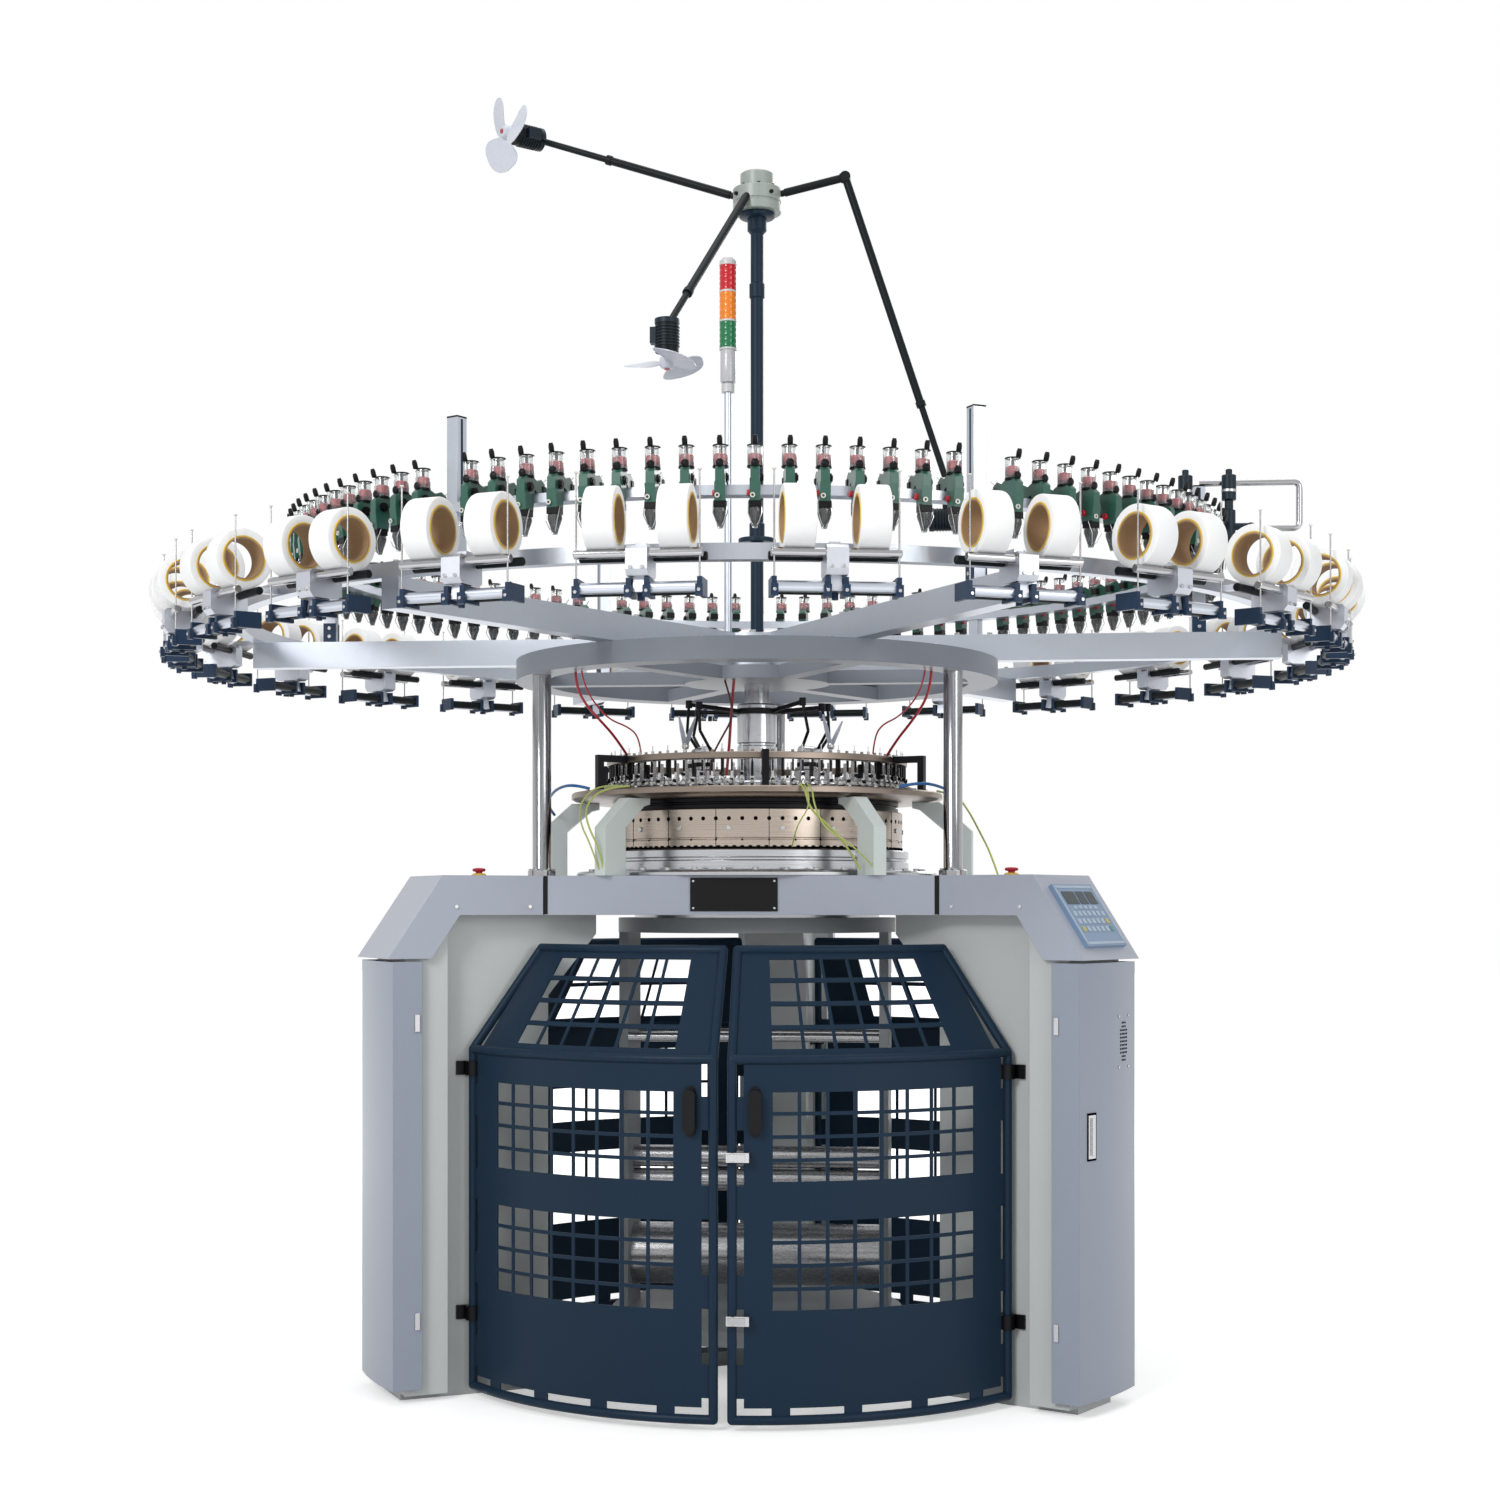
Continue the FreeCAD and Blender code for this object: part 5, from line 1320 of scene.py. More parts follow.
@dataclass
class CreelUnits:
    """The roller units of two creel bays with their spools."""

    bays: Bays
    per_bay: int = 4
    phase: float = 3.5
    reach: float = 1.745
    spool_offset: float = 0.088
    spool_height: float = 2.3204
    spool_radius: float = 0.079
    bore: float = 0.052
    rod_end: float = 0.154

    def block(self, parts: dict[str, Shape], place: Matrix) -> None:
        """Add the clamping block on the rail with its bolts.

        Args:
            parts: The shapes by finish.
            place: The unit's place, with x outwards.
        """
        r = self.reach
        parts["block"].slab((1.600, -0.013, 2.250), (r, 0.013, 2.265), place)
        side = place @ Matrix.Rotation(math.pi / 2, 4, "X")
        parts["block"].prism([(r - 0.052, 2.190), (r - 0.036, 2.182), (r + 0.040, 2.182),
            (r + 0.052, 2.196), (r + 0.052, 2.244), (r + 0.044, 2.252), (r - 0.044, 2.252),
            (r - 0.052, 2.244)], -0.026, 0.026, side)
        parts["block"].prism([(r - 0.030, 2.146), (r + 0.030, 2.146), (r + 0.022, 2.184),
            (r - 0.022, 2.184)], -0.013, 0.013, side)
        for y in (-0.014, 0.014):
            parts["bright"].bar(place, (r + 0.0515, y, 2.200), (r + 0.0575, y, 2.200), 0.005, 6)
        parts["dark"].bar(place, (r, 0, 2.146), (r, 0, 2.128), 0.008, 10)

    def rollers(self, parts: dict[str, Shape], place: Matrix) -> None:
        """Add the long rods that carry the spools, the rollers under them and their brackets.

        Args:
            parts: The shapes by finish.
            place: The unit's place, with x outwards.
        """
        r = self.reach
        for way in (-1, 1):
            for x, key in ((r - 0.030, "bar"), (r + 0.030, "chrome")):
                parts[key].bar(place, (x, way * 0.024, 2.235), (x, way * self.rod_end, 2.235),
                    0.011, 14, 0.002)
            for x, key in ((r - 0.022, "bar"), (r + 0.022, "roller")):
                parts[key].bar(place, (x, way * 0.028, 2.156), (x, way * 0.141, 2.156), 0.0135, 14, 0.001)
            for middle in (0.022, 0.147):
                low, high = sorted((way * (middle - 0.006), way * (middle + 0.006)))
                parts["dark"].slab((r - 0.036, low, 2.136), (r + 0.036, high, 2.178), place)
                low, high = sorted((way * (middle - 0.009), way * (middle + 0.009)))
                parts["dark"].slab((r + 0.032, low, 2.132), (r + 0.044, high, 2.160), place)
                parts["bright"].bar(place, (r + 0.0435, way * middle, 2.146),
                    (r + 0.0480, way * middle, 2.146), 0.0045, 6)

    def guides(self, parts: dict[str, Shape], place: Matrix) -> None:
        """Add the thin upright yarn rods with their eyelets.

        Args:
            parts: The shapes by finish.
            place: The unit's place, with x outwards.
        """
        for way in (-1, 1):
            foot = place @ Vector((self.reach + 0.034, way * 0.147, 2.178))
            parts["wire"].rod(foot, foot + Vector((0, 0, 0.250)), 0.0022, 6, 0.0004)
            parts["eye"].lathe([(0.0022, 0), (0.0050, 0), (0.0050, 0.003), (0.0022, 0.003)],
                Matrix.Translation(foot + Vector((0, 0, 0.2475))), 8, closed=True)

    def spool(self, parts: dict[str, Shape], place: Matrix, middle: float) -> None:
        """Add one spool.

        Args:
            parts: The shapes by finish.
            place: The unit's place, with x outwards.
            middle: The spool's middle along y.
        """
        lying = Matrix.Rotation(-math.pi / 2, 4, "X")
        axis = place @ Matrix.Translation((self.reach, middle, self.spool_height)) @ lying
        half, outer, bore = 0.037, self.spool_radius, self.bore
        core = bore + 0.004
        parts["yarn"].lathe([(core, -half + 0.002), (outer - 0.004, -half),
            (outer - 0.001, -half + 0.0015), (outer, -half + 0.005), (outer, half - 0.005),
            (outer - 0.001, half - 0.0015), (outer - 0.004, half), (core, half - 0.002)], axis, 64,
            closed=True)
        parts["core"].lathe([(bore, -half), (core - 0.001, -half), (core, -half + 0.001),
            (core, half - 0.001), (core - 0.001, half), (bore, half)], axis, 48, closed=True)
        for end in (-1, 1):
            near, far = end * (half - 0.003), end * (half + 0.0003)
            parts["rim"].lathe([(core, near), (core + 0.0042, near), (core + 0.0030, far),
                (core, far)][::end], axis, 48, closed=True)

    def build(self) -> None:
        """Make the units and spools of the two bays."""
        finishes = {"block": UNIT_METAL, "chrome": CHROME, "bar": BOOM_PAINT, "roller": ALUMINIUM,
            "dark": UNIT_DARK, "bright": BRIGHT, "wire": BRIGHT, "eye": CERAMIC, "yarn": YARN,
            "core": CORE, "rim": RIM}
        slots = {"block": "unit_aluminium", "chrome": "column_chrome", "bar": "boom_paint",
            "roller": "creel_aluminium", "bright": "roll_steel", "wire": "roll_steel", "yarn": "spool_yarn"}
        parts = {key: Shape() for key in finishes}
        side = self.bays.name.lower()
        for bay in self.bays.value:
            for index in range(self.per_bay):
                place = turn(BAY * bay + index * BAY / self.per_bay - self.phase)
                self.block(parts, place)
                self.rollers(parts, place)
                self.guides(parts, place)
                for way in (-1, 1):
                    self.spool(parts, place, way * self.spool_offset)
        stands = {"block": ["creel_units_" + side], "yarn": ["yarn_spools_" + side]}
        for key, shape in parts.items():
            shape.piece(f"creel_{key}_{side}", finishes[key], Body.MACHINE, slots.get(key),
                stands.get(key, []))


@dataclass
class CreelTrim:
    """The small fittings of the creel: post caps, clamps and bolts, and the guide frame on the right."""

    post_reach: float = 1.355

    def build(self) -> None:
        """Make caps, clamps, bolts and the guide frame."""
        caps, clamps, bolts = Shape(), Shape(), Shape()
        for index in range(6):
            place = turn(BAY * index)
            r = self.post_reach
            caps.slab((r - 0.0185, -0.0185, POST_TOP), (r + 0.0185, 0.0185, POST_TOP + 0.004), place)
            for way in (-1, 1):
                near, far = sorted((way * 0.0175, way * 0.0205))
                clamps.slab((r - 0.020, near, ARM_TOP), (r + 0.020, far, ARM_TOP + 0.060), place)
                # A dark strip down each side of the post: painted shade in the post's groove
                grooves = sorted((way * 0.0178, way * 0.0184))
                clamps.slab((r - 0.004, grooves[0], 2.480), (r + 0.004, grooves[1], POST_TOP - 0.004), place)
                for height in (ARM_TOP + 0.018, ARM_TOP + 0.044):
                    bolts.bar(place, (r, way * 0.020, height), (r, way * 0.026, height), 0.006, 6)
            for x in (0.62, 0.72):
                for way in (-1, 1):
                    foot = place @ Vector((x, way * 0.016, ARM_TOP - 0.0005))
                    bolts.stud(foot, 0.008, 0.008, 6)
            bolts.bar(place, (1.580, 0, RAIL_TOP - 0.0005), (1.580, 0, RAIL_TOP + 0.007), 0.007, 6)
        caps.piece("post_caps", BLACK, Body.MACHINE, "black_plastic")
        # The clamps, with the painted shade of the post grooves
        clamps.piece("post_clamps", UNIT_DARK, Body.MACHINE)
        bolts.piece("creel_bolts", BRIGHT, Body.MACHINE, "roll_steel")
        frame_tubes, valves, rings = Shape(), Shape(), Shape()
        corners = [Vector((1.355, -0.010, 2.700)), Vector((1.655, -0.010, 2.700)),
            Vector((1.655, -0.010, 2.560)), Vector((1.500, -0.010, 2.560))]
        frame_tubes.tube(rounded(corners, 0.02), 0.010, 12)
        for x in (1.310, 1.440):
            for low, high, radius in ((2.500, 2.520, 0.012), (2.520, 2.610, 0.020), (2.610, 2.640, 0.013),
                    (2.640, 2.716, 0.022), (2.716, 2.734, 0.010)):
                valves.rod(Vector((x, -0.050, low)), Vector((x, -0.050, high)), radius, 18, 0.0015)
            rings.rod(Vector((x, -0.050, 2.664)), Vector((x, -0.050, 2.672)), 0.0235, 18)
        valves.rod(Vector((1.30, -0.050, 2.560)), Vector((1.515, -0.050, 2.560)), 0.011, 14)
        valves.rod(Vector((1.355, -0.052, 2.560)), Vector((1.355, -0.016, 2.560)), 0.010, 12)
        valves.rod(Vector((1.505, -0.056, 2.560)), Vector((1.505, 0.002, 2.560)), 0.012, 12)
        frame_tubes.piece("guide_frame_tube", CHROME, Body.MACHINE, "column_chrome")
        valves.piece("guide_frame_valves", MOTOR_PAINT, Body.MACHINE, "boom_paint")
        rings.piece("guide_frame_rings", BRIGHT, Body.MACHINE, "roll_steel")


def rounded(corners: Sequence[Vector], radius: float, steps: int = 6) -> list[Vector]:
    """Round the corners of a path.

    Args:
        corners: The path's corners.
        radius: How far from each corner the bend starts.
        steps: Number of steps in each bend.

    Returns:
        The path's points.
    """
    path = [corners[0]]
    for before, corner, after in zip(corners, corners[1:], corners[2:]):
        start = corner + (before - corner).normalized() * radius
        end = corner + (after - corner).normalized() * radius
        for index in range(steps + 1):
            t = index / steps
            path.append(start * (1 - t) ** 2 + corner * 2 * t * (1 - t) + end * t ** 2)
    path.append(corners[-1])
    return path


@dataclass
class Housing:
    """The trim of the bed, the hoods and the leg doors."""

    door_reach: float = 1.218

    def door_point(self, leg: str, across: float, height: float, lift: float = 0.0) -> Vector:
        """Give a point on a leg door's curved face.

        Args:
            leg: Name of the leg.
            across: Distance from the leg's middle plane, positive to its left seen from the axis.
            height: Height in metres.
            lift: Distance outside the face.

        Returns:
            The point in the row frame.
        """
        tilt = math.degrees(math.asin(across / self.door_reach))
        return polar(self.door_reach + lift, LEG_ANGLES[leg] + tilt, height)

    def plates(self) -> None:
        """Make the bare black plate on the front beam and the seams beside it."""
        plate = Shape()
        plate.slab((-0.143, -0.5285, 1.397), (0.110, -0.5250, 1.493))
        for side in (-1, 1):
            low, high = sorted((side * 0.560, side * 0.572))
            plate.slab((low, -0.5262, 1.388), (high, -0.5240, 1.499))
        plate.piece("front_plate", BLACK, Body.MACHINE, "black_plastic")
        screws = Shape()
        for x in (-0.134, 0.101):
            for z in (1.406, 1.484):
                screws.rod(Vector((x, -0.5280, z)), Vector((x, -0.5305, z)), 0.0036, 10, 0.0006)
        for angle in LEG_ANGLES.values():
            for side in (-1, 1):
                for reach in (0.800, 1.020):
                    start = turn(angle) @ Vector((reach, side * 0.1695, 1.410))
                    out = turn(angle) @ Vector((0, side, 0))
                    screws.rod(start, start + out * 0.004, 0.006, 10)
        screws.piece("housing_screws", BRIGHT, Body.MACHINE, "roll_steel")

    def door_fittings(self) -> None:
        """Make the catches, the vents and the flush handle of the leg doors; the vent holes and the handle's
        recess are black painted shade.
        """
        for leg, body in (("left", Body.DOOR_LEFT), ("right", Body.DOOR_RIGHT), ("back", Body.DOOR_BACK)):
            vent_and_recess_shade, bright = Shape(), Shape()
            front = 1 if leg == "left" else -1
            if leg != "left":
                self.vent(vent_and_recess_shade, bright, leg, front)
                handle = self.door_point(leg, front * 0.112, 0.775)
                place = along(handle, handle - Vector((0, 0, handle.z)))
                # The handle's recess: a black slab of painted shade whose rim shows round the plate
                vent_and_recess_shade.slab((-0.022, -0.066, -0.003), (0.022, 0.066, 0.0022), place)
                bright.slab((-0.018, -0.060, 0.0020), (0.018, 0.060, 0.0028), place)
                bright.slab((-0.005, -0.052, 0.0020), (0.005, 0.052, 0.0075), place)
            for height in (0.235, 1.080):
                start = turn(LEG_ANGLES[leg]) @ Vector((1.136, front * 0.1695, height))
                out = turn(LEG_ANGLES[leg]) @ Vector((0, front, 0))
                bright.slab((-0.007, -0.024, 0.0), (0.007, 0.024, 0.006), along(start, out))
            if leg != "left":
                vent_and_recess_shade.piece(f"leg_door_vents_{leg}", HOLE_SHADE_AND_JOINTS, body)
            bright.piece(f"leg_door_fittings_{leg}", BRIGHT, body, "roll_steel")

    def vent(self, dark: Shape, bright: Shape, leg: str, front: int) -> None:
        """Make the oval of small vent holes in a leg door as black discs of painted shade, with a screw at
        each corner.

        Args:
            dark: The shape that takes the holes' painted shade.
            bright: The shape that takes the screws.
            leg: Name of the leg.
            front: The side of the leg's middle plane that faces the front, 1 or -1.
        """
        middle, height = -front * 0.080, 1.030
        for row in range(-5, 6):
            for column in range(-2, 3):
                if (row / 5.6) ** 2 + (column / 2.4) ** 2 <= 1:
                    spot = self.door_point(leg, middle + 0.0105 * column, height + 0.0105 * row)
                    out = spot - Vector((0, 0, spot.z))
                    # Each hole is a black disc of painted shade
                    dark.rod(spot - out * 0.001, spot + out * 0.0009, 0.0031, 8)
        for across in (-0.034, 0.034):
            for rise in (-0.072, 0.072):
                spot = self.door_point(leg, middle + across, height + rise)
                bright.rod(spot, spot + (spot - Vector((0, 0, spot.z))) * 0.002, 0.004, 8)

    def keypad(self) -> None:
        """Make the keys, displays and frame of the control panel on the right hood."""
        run = Vector((0.160, 0, -0.238))
        slope = run.normalized()
        up = Vector((0.238, 0, 0.160)).normalized()
        middle = Vector((1.060, 0, 1.500)) + run * 0.5 + up * 0.012
        facing = Matrix((slope, Vector((0, 1, 0)), up)).transposed().to_4x4()
        place = turn(LEG_ANGLES["right"]) @ Matrix.Translation(middle) @ facing
        shapes = {key: Shape() for key in ("pale", "dark", "amber", "green", "rim")}
        colors = {(2, 0): "amber", (1, 6): "amber", (2, 6): "green"}
        for row in range(3):
            for column in range(7):
                y = -0.084 + 0.028 * column
                x = -0.004 + 0.026 * row
                shapes[colors.get((row, column), "pale")].slab((x - 0.008, y - 0.009, -0.0005),
                    (x + 0.008, y + 0.009, 0.0016), place)
        for low, high in ((-0.092, -0.020), (-0.010, 0.036), (0.046, 0.092)):
            shapes["dark"].slab((-0.078, low, -0.0005), (-0.036, high, 0.0012), place)
        for column in range(5):
            y = -0.060 + 0.030 * column
            shapes["pale"].slab((-0.030, y - 0.010, -0.0005), (-0.020, y + 0.010, 0.0014), place)
        for y in (-0.113, 0.113):
            shapes["rim"].slab((-0.098, y - 0.004, -0.0010), (0.098, y + 0.004, 0.0010), place)
        for x in (-0.094, 0.094):
            shapes["rim"].slab((x - 0.004, -0.113, -0.0010), (x + 0.004, 0.113, 0.0010), place)
        finishes = {"pale": KEY_PALE, "dark": KEY_DARK, "amber": KEY_AMBER, "green": KEY_GREEN,
            "rim": KEY_PALE}
        for key, shape in shapes.items():
            shape.piece("panel_" + key, finishes[key], Body.MACHINE)

    def buttons(self) -> None:
        """Make the mushroom stop buttons on the front hoods."""
        red, collar = Shape(), Shape()
        for leg in ("left", "right"):
            foot = Matrix.Translation(polar(0.900, LEG_ANGLES[leg], BED_TOP))
            red.lathe([(0.010, 0.006), (0.010, 0.012), (0.018, 0.014), (0.020, 0.018), (0.018, 0.022),
                (0.010, 0.024)], foot, 28)
            collar.lathe([(0.022, 0), (0.022, 0.004), (0.016, 0.008)], foot, 28)
        red.piece("stop_button_caps", BUTTON_RED, Body.MACHINE, "button_red", ["stop_buttons"])
        collar.piece("stop_button_collars", RIM, Body.MACHINE)

    def build(self) -> None:
        """Make the housing's trim."""
        self.plates()
        self.door_fittings()
        self.keypad()
        self.buttons()


@dataclass
class GateTrim:
    """The screws, latch bails and handle sockets of the gates."""

    radius: float = 0.965
    latch_heights: tuple[float, float] = (0.303, 0.740)

    def build(self) -> None:
        """Make the latch levers and the handles' recesses."""
        levers = Shape()
        for height in self.latch_heights:
            face = -(self.radius + 0.013)
            levers.slab((0.016, face - 0.0235, height - 0.009), (0.064, face - 0.0195, height + 0.009))
            levers.rod(Vector((0.030, face - 0.020, height - 0.013)),
                Vector((0.030, face - 0.020, height + 0.013)), 0.004, 10)
        levers.piece("latch_levers", CHROME, Body.GATE_RIGHT, "column_chrome")
        grips = {Body.GATE_RIGHT: 5.2, Body.GATE_LEFT: -5.2}
        for body, angle in grips.items():
            pads = Shape()
            place = turn(-90 + angle)
            face = self.radius + 0.002
            facing = Matrix(((0, 0, 1), (1, 0, 0), (0, 1, 0))).to_4x4()
            outline = []
            for degrees in range(0, 360, 20):
                swing = math.radians(degrees)
                middle = 0.054 if degrees < 180 else -0.054
                outline.append((0.014 * math.cos(swing), middle + 0.014 * math.sin(swing)))
            pads.prism(outline, -0.0005, 0.009, place @ Matrix.Translation((face, 0, 0.860)) @ facing)
            pads.piece("handle_pad_" + body.value, BLACK, body, "black_plastic")
            screws = Shape()
            for z in (0.806, 0.914):
                screws.bar(place, (face + 0.008, 0, z), (face + 0.011, 0, z), 0.004, 8, 0.0006)
            screws.piece("handle_screws_" + body.value, BRIGHT, body, "roll_steel")


@dataclass
class Cable:
    """A thin free cable or air hose at the head, along a NURBS line."""

    name: str
    finish: bpy.types.Material
    route: Sequence[tuple[float, float, float]]
    diameter: float = 0.006
    lay: str = "hanging"

    def line(self) -> list[Vector]:
        """Read the points of the NURBS line whose control points are the route.

        Returns:
            The line's points.
        """
        curve = bpy.data.curves.new(self.name + "_route", "CURVE")
        curve.dimensions = "3D"
        spline = curve.splines.new("NURBS")
        spline.points.add(len(self.route) - 1)
        for point, place in zip(spline.points, self.route):
            point.co = (*place, 1.0)
        spline.order_u = 3
        spline.use_endpoint_u = True
        holder = bpy.data.objects.new(self.name + "_route", curve)
        mesh = bpy.data.meshes.new_from_object(holder)
        points = [vertex.co.copy() for vertex in mesh.vertices]
        bpy.data.objects.remove(holder)
        bpy.data.curves.remove(curve)
        bpy.data.meshes.remove(mesh)
        return points

    def build(self) -> None:
        path = self.line()
        shape = Shape()
        shape.tube(path, self.diameter / 2, 8)
        made = shape.piece(self.name, self.finish, Body.MACHINE)


@dataclass
class Studio:
    """The pale floor, the soft lights and the camera of the photograph."""

    distance: float = 7.0
    azimuth: float = 5.5
    eye_height: float = 1.415
    lens_mm: float = 54.0
    shift: tuple[float, float] = (-0.0047, 0.1033)
    floor_half: float = 40.0
    world_light: float = 0.50
    floor_lift: float = 0.42

    def seen_plainly(self, nodes: Nodes) -> bpy.types.NodeSocket:
        """Give the mask of rays that see the background itself.

        Args:
            nodes: The tree under construction.

        Returns:
            A socket that is 1 for camera, glossy and transmission rays.
        """
        rays = nodes.new("ShaderNodeLightPath").outputs
        either = nodes.math("MAXIMUM", rays["Is Camera Ray"], rays["Is Glossy Ray"])
        return nodes.math("MAXIMUM", either, rays["Is Transmission Ray"])

    def floor(self) -> None:
        """Make the plain pale floor."""
        half = self.floor_half
        mesh = bpy.data.meshes.new("studio_floor")
        mesh.from_pydata([(-half, -half, 0), (half, -half, 0), (half, half, 0), (-half, half, 0)], [],
            [(0, 1, 2, 3)])
        material, nodes = finished("studio_floor")
        place = nodes.new("ShaderNodeNewGeometry").outputs["Position"]
        far = nodes.new("ShaderNodeVectorMath", {0: place}, operation="LENGTH").outputs["Value"]
        rise = nodes.new("ShaderNodeMapRange", {"Value": far, "From Min": 2.2, "From Max": 7.0,
            "To Min": self.floor_lift, "To Max": 1.0}, interpolation_type="SMOOTHSTEP").outputs[0]
        lift = nodes.math("MULTIPLY", self.seen_plainly(nodes), rise)
        shaded(nodes, {"Base Color": rgba((0.80, 0.80, 0.80)), "Roughness": 0.8,
            "Specular IOR Level": 0.1, "Emission Color": rgba((1, 1, 1)), "Emission Strength": lift})
        mesh.materials.append(material)
        made = bpy.data.objects.new("studio_floor", mesh)
        bpy.context.scene.collection.objects.link(made)
        log.info("studio_floor: %.0f m wide", 2 * half)

    def lamp(self, name: str, place: Sequence[float], target: Sequence[float], size: float,
            watts: float) -> None:
        """Make a soft square light.

        Args:
            name: Name of the light.
            place: Where it hangs.
            target: The point it faces.
            size: Length of its side.
            watts: Its power.
        """
        light = bpy.data.lights.new(name, "AREA")
        light.size = size
        light.energy = watts
        made = bpy.data.objects.new(name, light)
        way = Vector(target) - Vector(place)
        made.matrix_world = Matrix.Translation(place) @ way.to_track_quat("-Z", "Y").to_matrix().to_4x4()
        bpy.context.scene.collection.objects.link(made)
        log.info("%s: %.0f W", name, watts)

    def camera(self) -> None:
        """Set the camera where the photograph was taken."""
        data = bpy.data.cameras.new("camera")
        data.sensor_width = 36.0
        data.lens = self.lens_mm
        data.shift_x, data.shift_y = self.shift
        made = bpy.data.objects.new("camera", data)
        azimuth = math.radians(self.azimuth)
        across, back = self.distance * math.sin(azimuth), -self.distance * math.cos(azimuth)
        place = Vector((across, back, self.eye_height))
        way = Vector((-place.x, -place.y, 0))
        made.matrix_world = Matrix.Translation(place) @ way.to_track_quat("-Z", "Y").to_matrix().to_4x4()
        bpy.context.scene.collection.objects.link(made)
        bpy.context.scene.camera = made

    def sky(self) -> None:
        """Make the even white surround."""
        world = bpy.data.worlds.new("studio")
        world.use_nodes = True
        nodes = Nodes(world.node_tree)
        seen = self.seen_plainly(nodes)
        strength = nodes.math("ADD", nodes.math("MULTIPLY", seen, 1.0 - self.world_light), self.world_light)
        glow = nodes.new("ShaderNodeBackground", {"Color": rgba((1, 1, 1)), "Strength": strength})
        nodes.new("ShaderNodeOutputWorld", {"Surface": glow.outputs[0]})
        bpy.context.scene.world = world

    def build(self) -> None:
        """Make the studio."""
        self.floor()
        self.lamp("key_light", (-4.2, -8.3, 6.3), (0, 0, 1.4), 3.0, 500)
        self.lamp("fill_light", (6.5, -6.5, 4.0), (0, 0, 1.4), 4.0, 190)
        self.lamp("top_light", (0.5, 0.5, 9.0), (0, 0, 1.0), 5.0, 150)
        self.lamp("back_light", (3.0, 7.5, 6.0), (0, 0, 1.4), 4.0, 200)
        self.sky()
        self.camera()
        bpy.context.scene.view_settings.view_transform = "Standard"


HIGH_FAN_WAY = polar(1, 222, 0)
FANS = (
    Fan("fan_high", Body.FAN_HIGH, polar(*HIGH_BOOM_END, 3.860) - HIGH_FAN_WAY * Fan.motor_length / 3,
        HIGH_FAN_WAY),
    Fan("fan_mid", Body.FAN_MID, polar(*MID_BOOM_END, 3.092), Vector((0, 0, -1))),
    Fan("fan_low", Body.FAN_LOW, Vector((0.539, 0, 2.604)), Vector((1, 0, 0))))

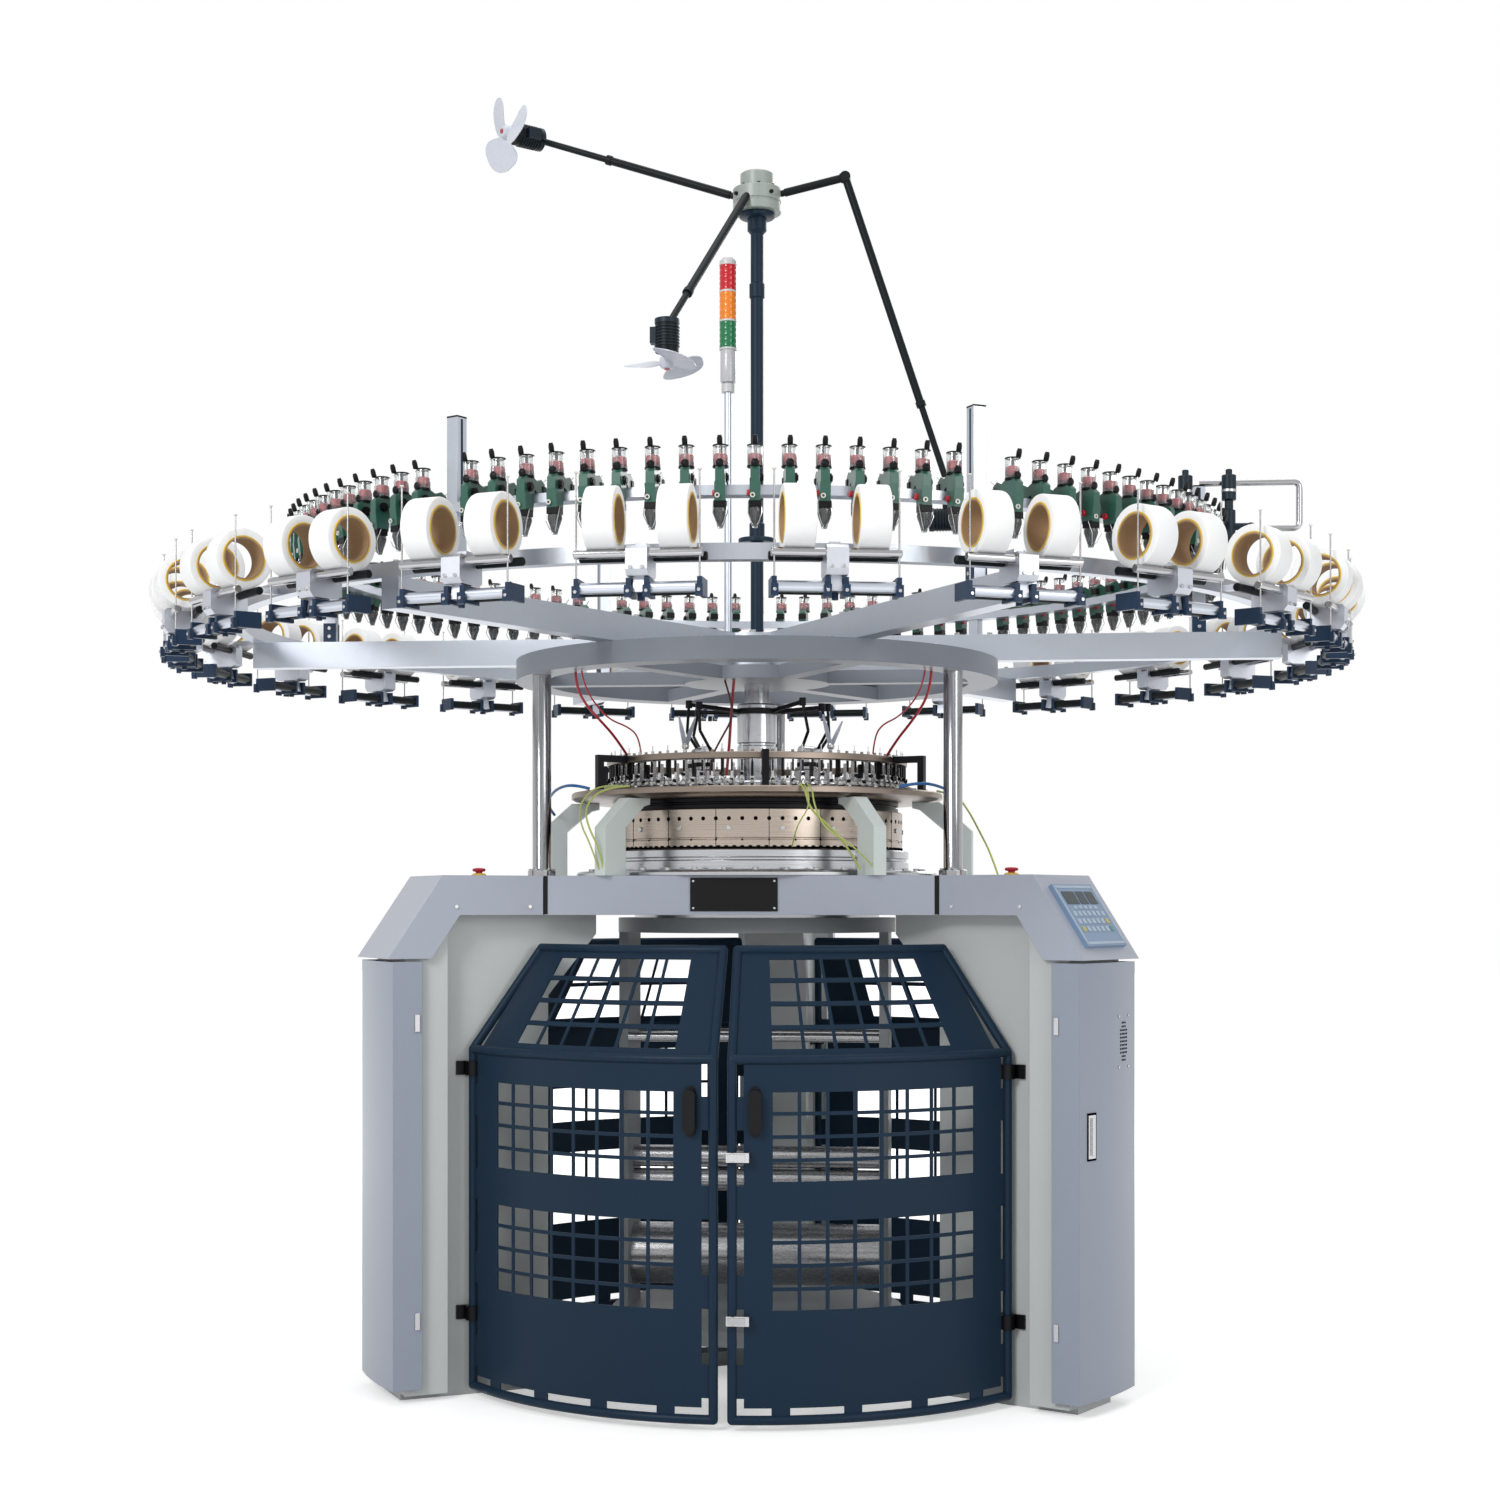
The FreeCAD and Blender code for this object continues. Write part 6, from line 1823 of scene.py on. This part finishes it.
CABLES = (
    Cable("cable_red_left", CABLE_RED, [
        (-0.470, -0.470, 2.099), (-0.464, -0.462, 2.060), (-0.440, -0.436, 2.010), (-0.400, -0.395, 1.962),
        (-0.350, -0.352, 1.944), (-0.322, -0.322, 1.915), (-0.318, -0.312, 1.866)], 0.005),
    Cable("cable_red_left_outer", CABLE_RED, [
        (-0.492, -0.447, 2.099), (-0.490, -0.444, 2.058), (-0.470, -0.424, 2.010), (-0.430, -0.390, 1.962),
        (-0.392, -0.330, 1.915), (-0.368, -0.262, 1.866)], 0.008),
    Cable("cable_red_right", CABLE_RED, [
        (0.530, -0.402, 2.099), (0.524, -0.398, 2.060), (0.498, -0.380, 2.010), (0.450, -0.350, 1.966),
        (0.402, -0.318, 1.948), (0.378, -0.286, 1.915), (0.372, -0.258, 1.866)], 0.005),
    Cable("cable_red_right_outer", CABLE_RED, [
        (0.548, -0.377, 2.099), (0.545, -0.374, 2.058), (0.528, -0.352, 2.010), (0.490, -0.312, 1.958),
        (0.440, -0.240, 1.905), (0.412, -0.186, 1.866)], 0.008),
    Cable("cable_red_middle", CABLE_RED, [
        (-0.052, -0.130, 2.166), (-0.056, -0.140, 2.120), (-0.062, -0.128, 2.060), (-0.070, -0.110, 1.990),
        (-0.074, -0.108, 1.920), (-0.078, -0.122, 1.860), (-0.080, -0.140, 1.812)], 0.009),
    Cable("cable_dark_middle", CABLE_DARK, [
        (-0.096, -0.120, 2.166), (-0.092, -0.134, 2.120), (-0.072, -0.146, 2.060), (-0.058, -0.140, 1.990),
        (-0.100, -0.130, 1.920), (-0.130, -0.140, 1.860), (-0.128, -0.160, 1.812)], 0.006),
    Cable("cable_lime_left", CABLE_LIME, [
        (-0.330, -0.460, 1.762), (-0.398, -0.515, 1.757), (-0.448, -0.548, 1.700), (-0.436, -0.556, 1.640),
        (-0.404, -0.556, 1.580), (-0.394, -0.540, 1.518)], 0.006),
    Cable("cable_lime_left_inner", CABLE_LIME, [
        (-0.350, -0.448, 1.762), (-0.412, -0.500, 1.768), (-0.466, -0.530, 1.712), (-0.462, -0.540, 1.650),
        (-0.430, -0.548, 1.590), (-0.408, -0.534, 1.518)], 0.005),
    Cable("cable_lime_right", CABLE_LIME, [
        (0.176, -0.540, 1.762), (0.196, -0.585, 1.742), (0.206, -0.600, 1.690), (0.262, -0.596, 1.640),
        (0.308, -0.580, 1.590), (0.348, -0.532, 1.518)], 0.007),
    Cable("cable_lime_right_outer", CABLE_LIME, [
        (0.196, -0.534, 1.762), (0.214, -0.580, 1.748), (0.220, -0.606, 1.700), (0.252, -0.612, 1.628),
        (0.330, -0.596, 1.588), (0.392, -0.540, 1.518)], 0.005),
    Cable("cable_lime_right_fork", CABLE_LIME, [
        (0.186, -0.537, 1.762), (0.204, -0.588, 1.740), (0.206, -0.606, 1.690), (0.176, -0.590, 1.650),
        (0.160, -0.560, 1.610), (0.150, -0.500, 1.584)], 0.004),
    Cable("cable_lime_far_right", CABLE_LIME, [
        (0.560, -0.140, 1.760), (0.622, -0.170, 1.745), (0.660, -0.200, 1.690), (0.690, -0.240, 1.630),
        (0.720, -0.285, 1.570), (0.742, -0.320, 1.503)], 0.006),
    Cable("hose_blue_left", CABLE_BLUE, [
        (-0.470, -0.336, 1.762), (-0.520, -0.325, 1.776), (-0.580, -0.265, 1.768), (-0.626, -0.180, 1.738),
        (-0.632, -0.120, 1.712), (-0.622, -0.087, 1.694)], 0.009),
    Cable("hose_blue_right", CABLE_BLUE, [
        (0.452, -0.345, 1.762), (0.506, -0.338, 1.776), (0.572, -0.285, 1.768), (0.624, -0.195, 1.740),
        (0.632, -0.130, 1.714), (0.623, -0.087, 1.694)], 0.009))


def main() -> None:
    """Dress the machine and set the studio."""
    CadFinishes().build()
    KnittingHead().build()
    YarnCarriers().build()
    Uprights().build()
    SignalLamp().build()
    BoomSleeves().build()
    for fan in FANS:
        fan.build()
    for bays in Bays:
        YarnFeeders(bays).build()
        CreelUnits(bays).build()
    CreelTrim().build()
    Housing().build()
    GateTrim().build()
    for cable in CABLES:
        cable.build()
    Studio().build()


if __name__ == "__main__":
    main()
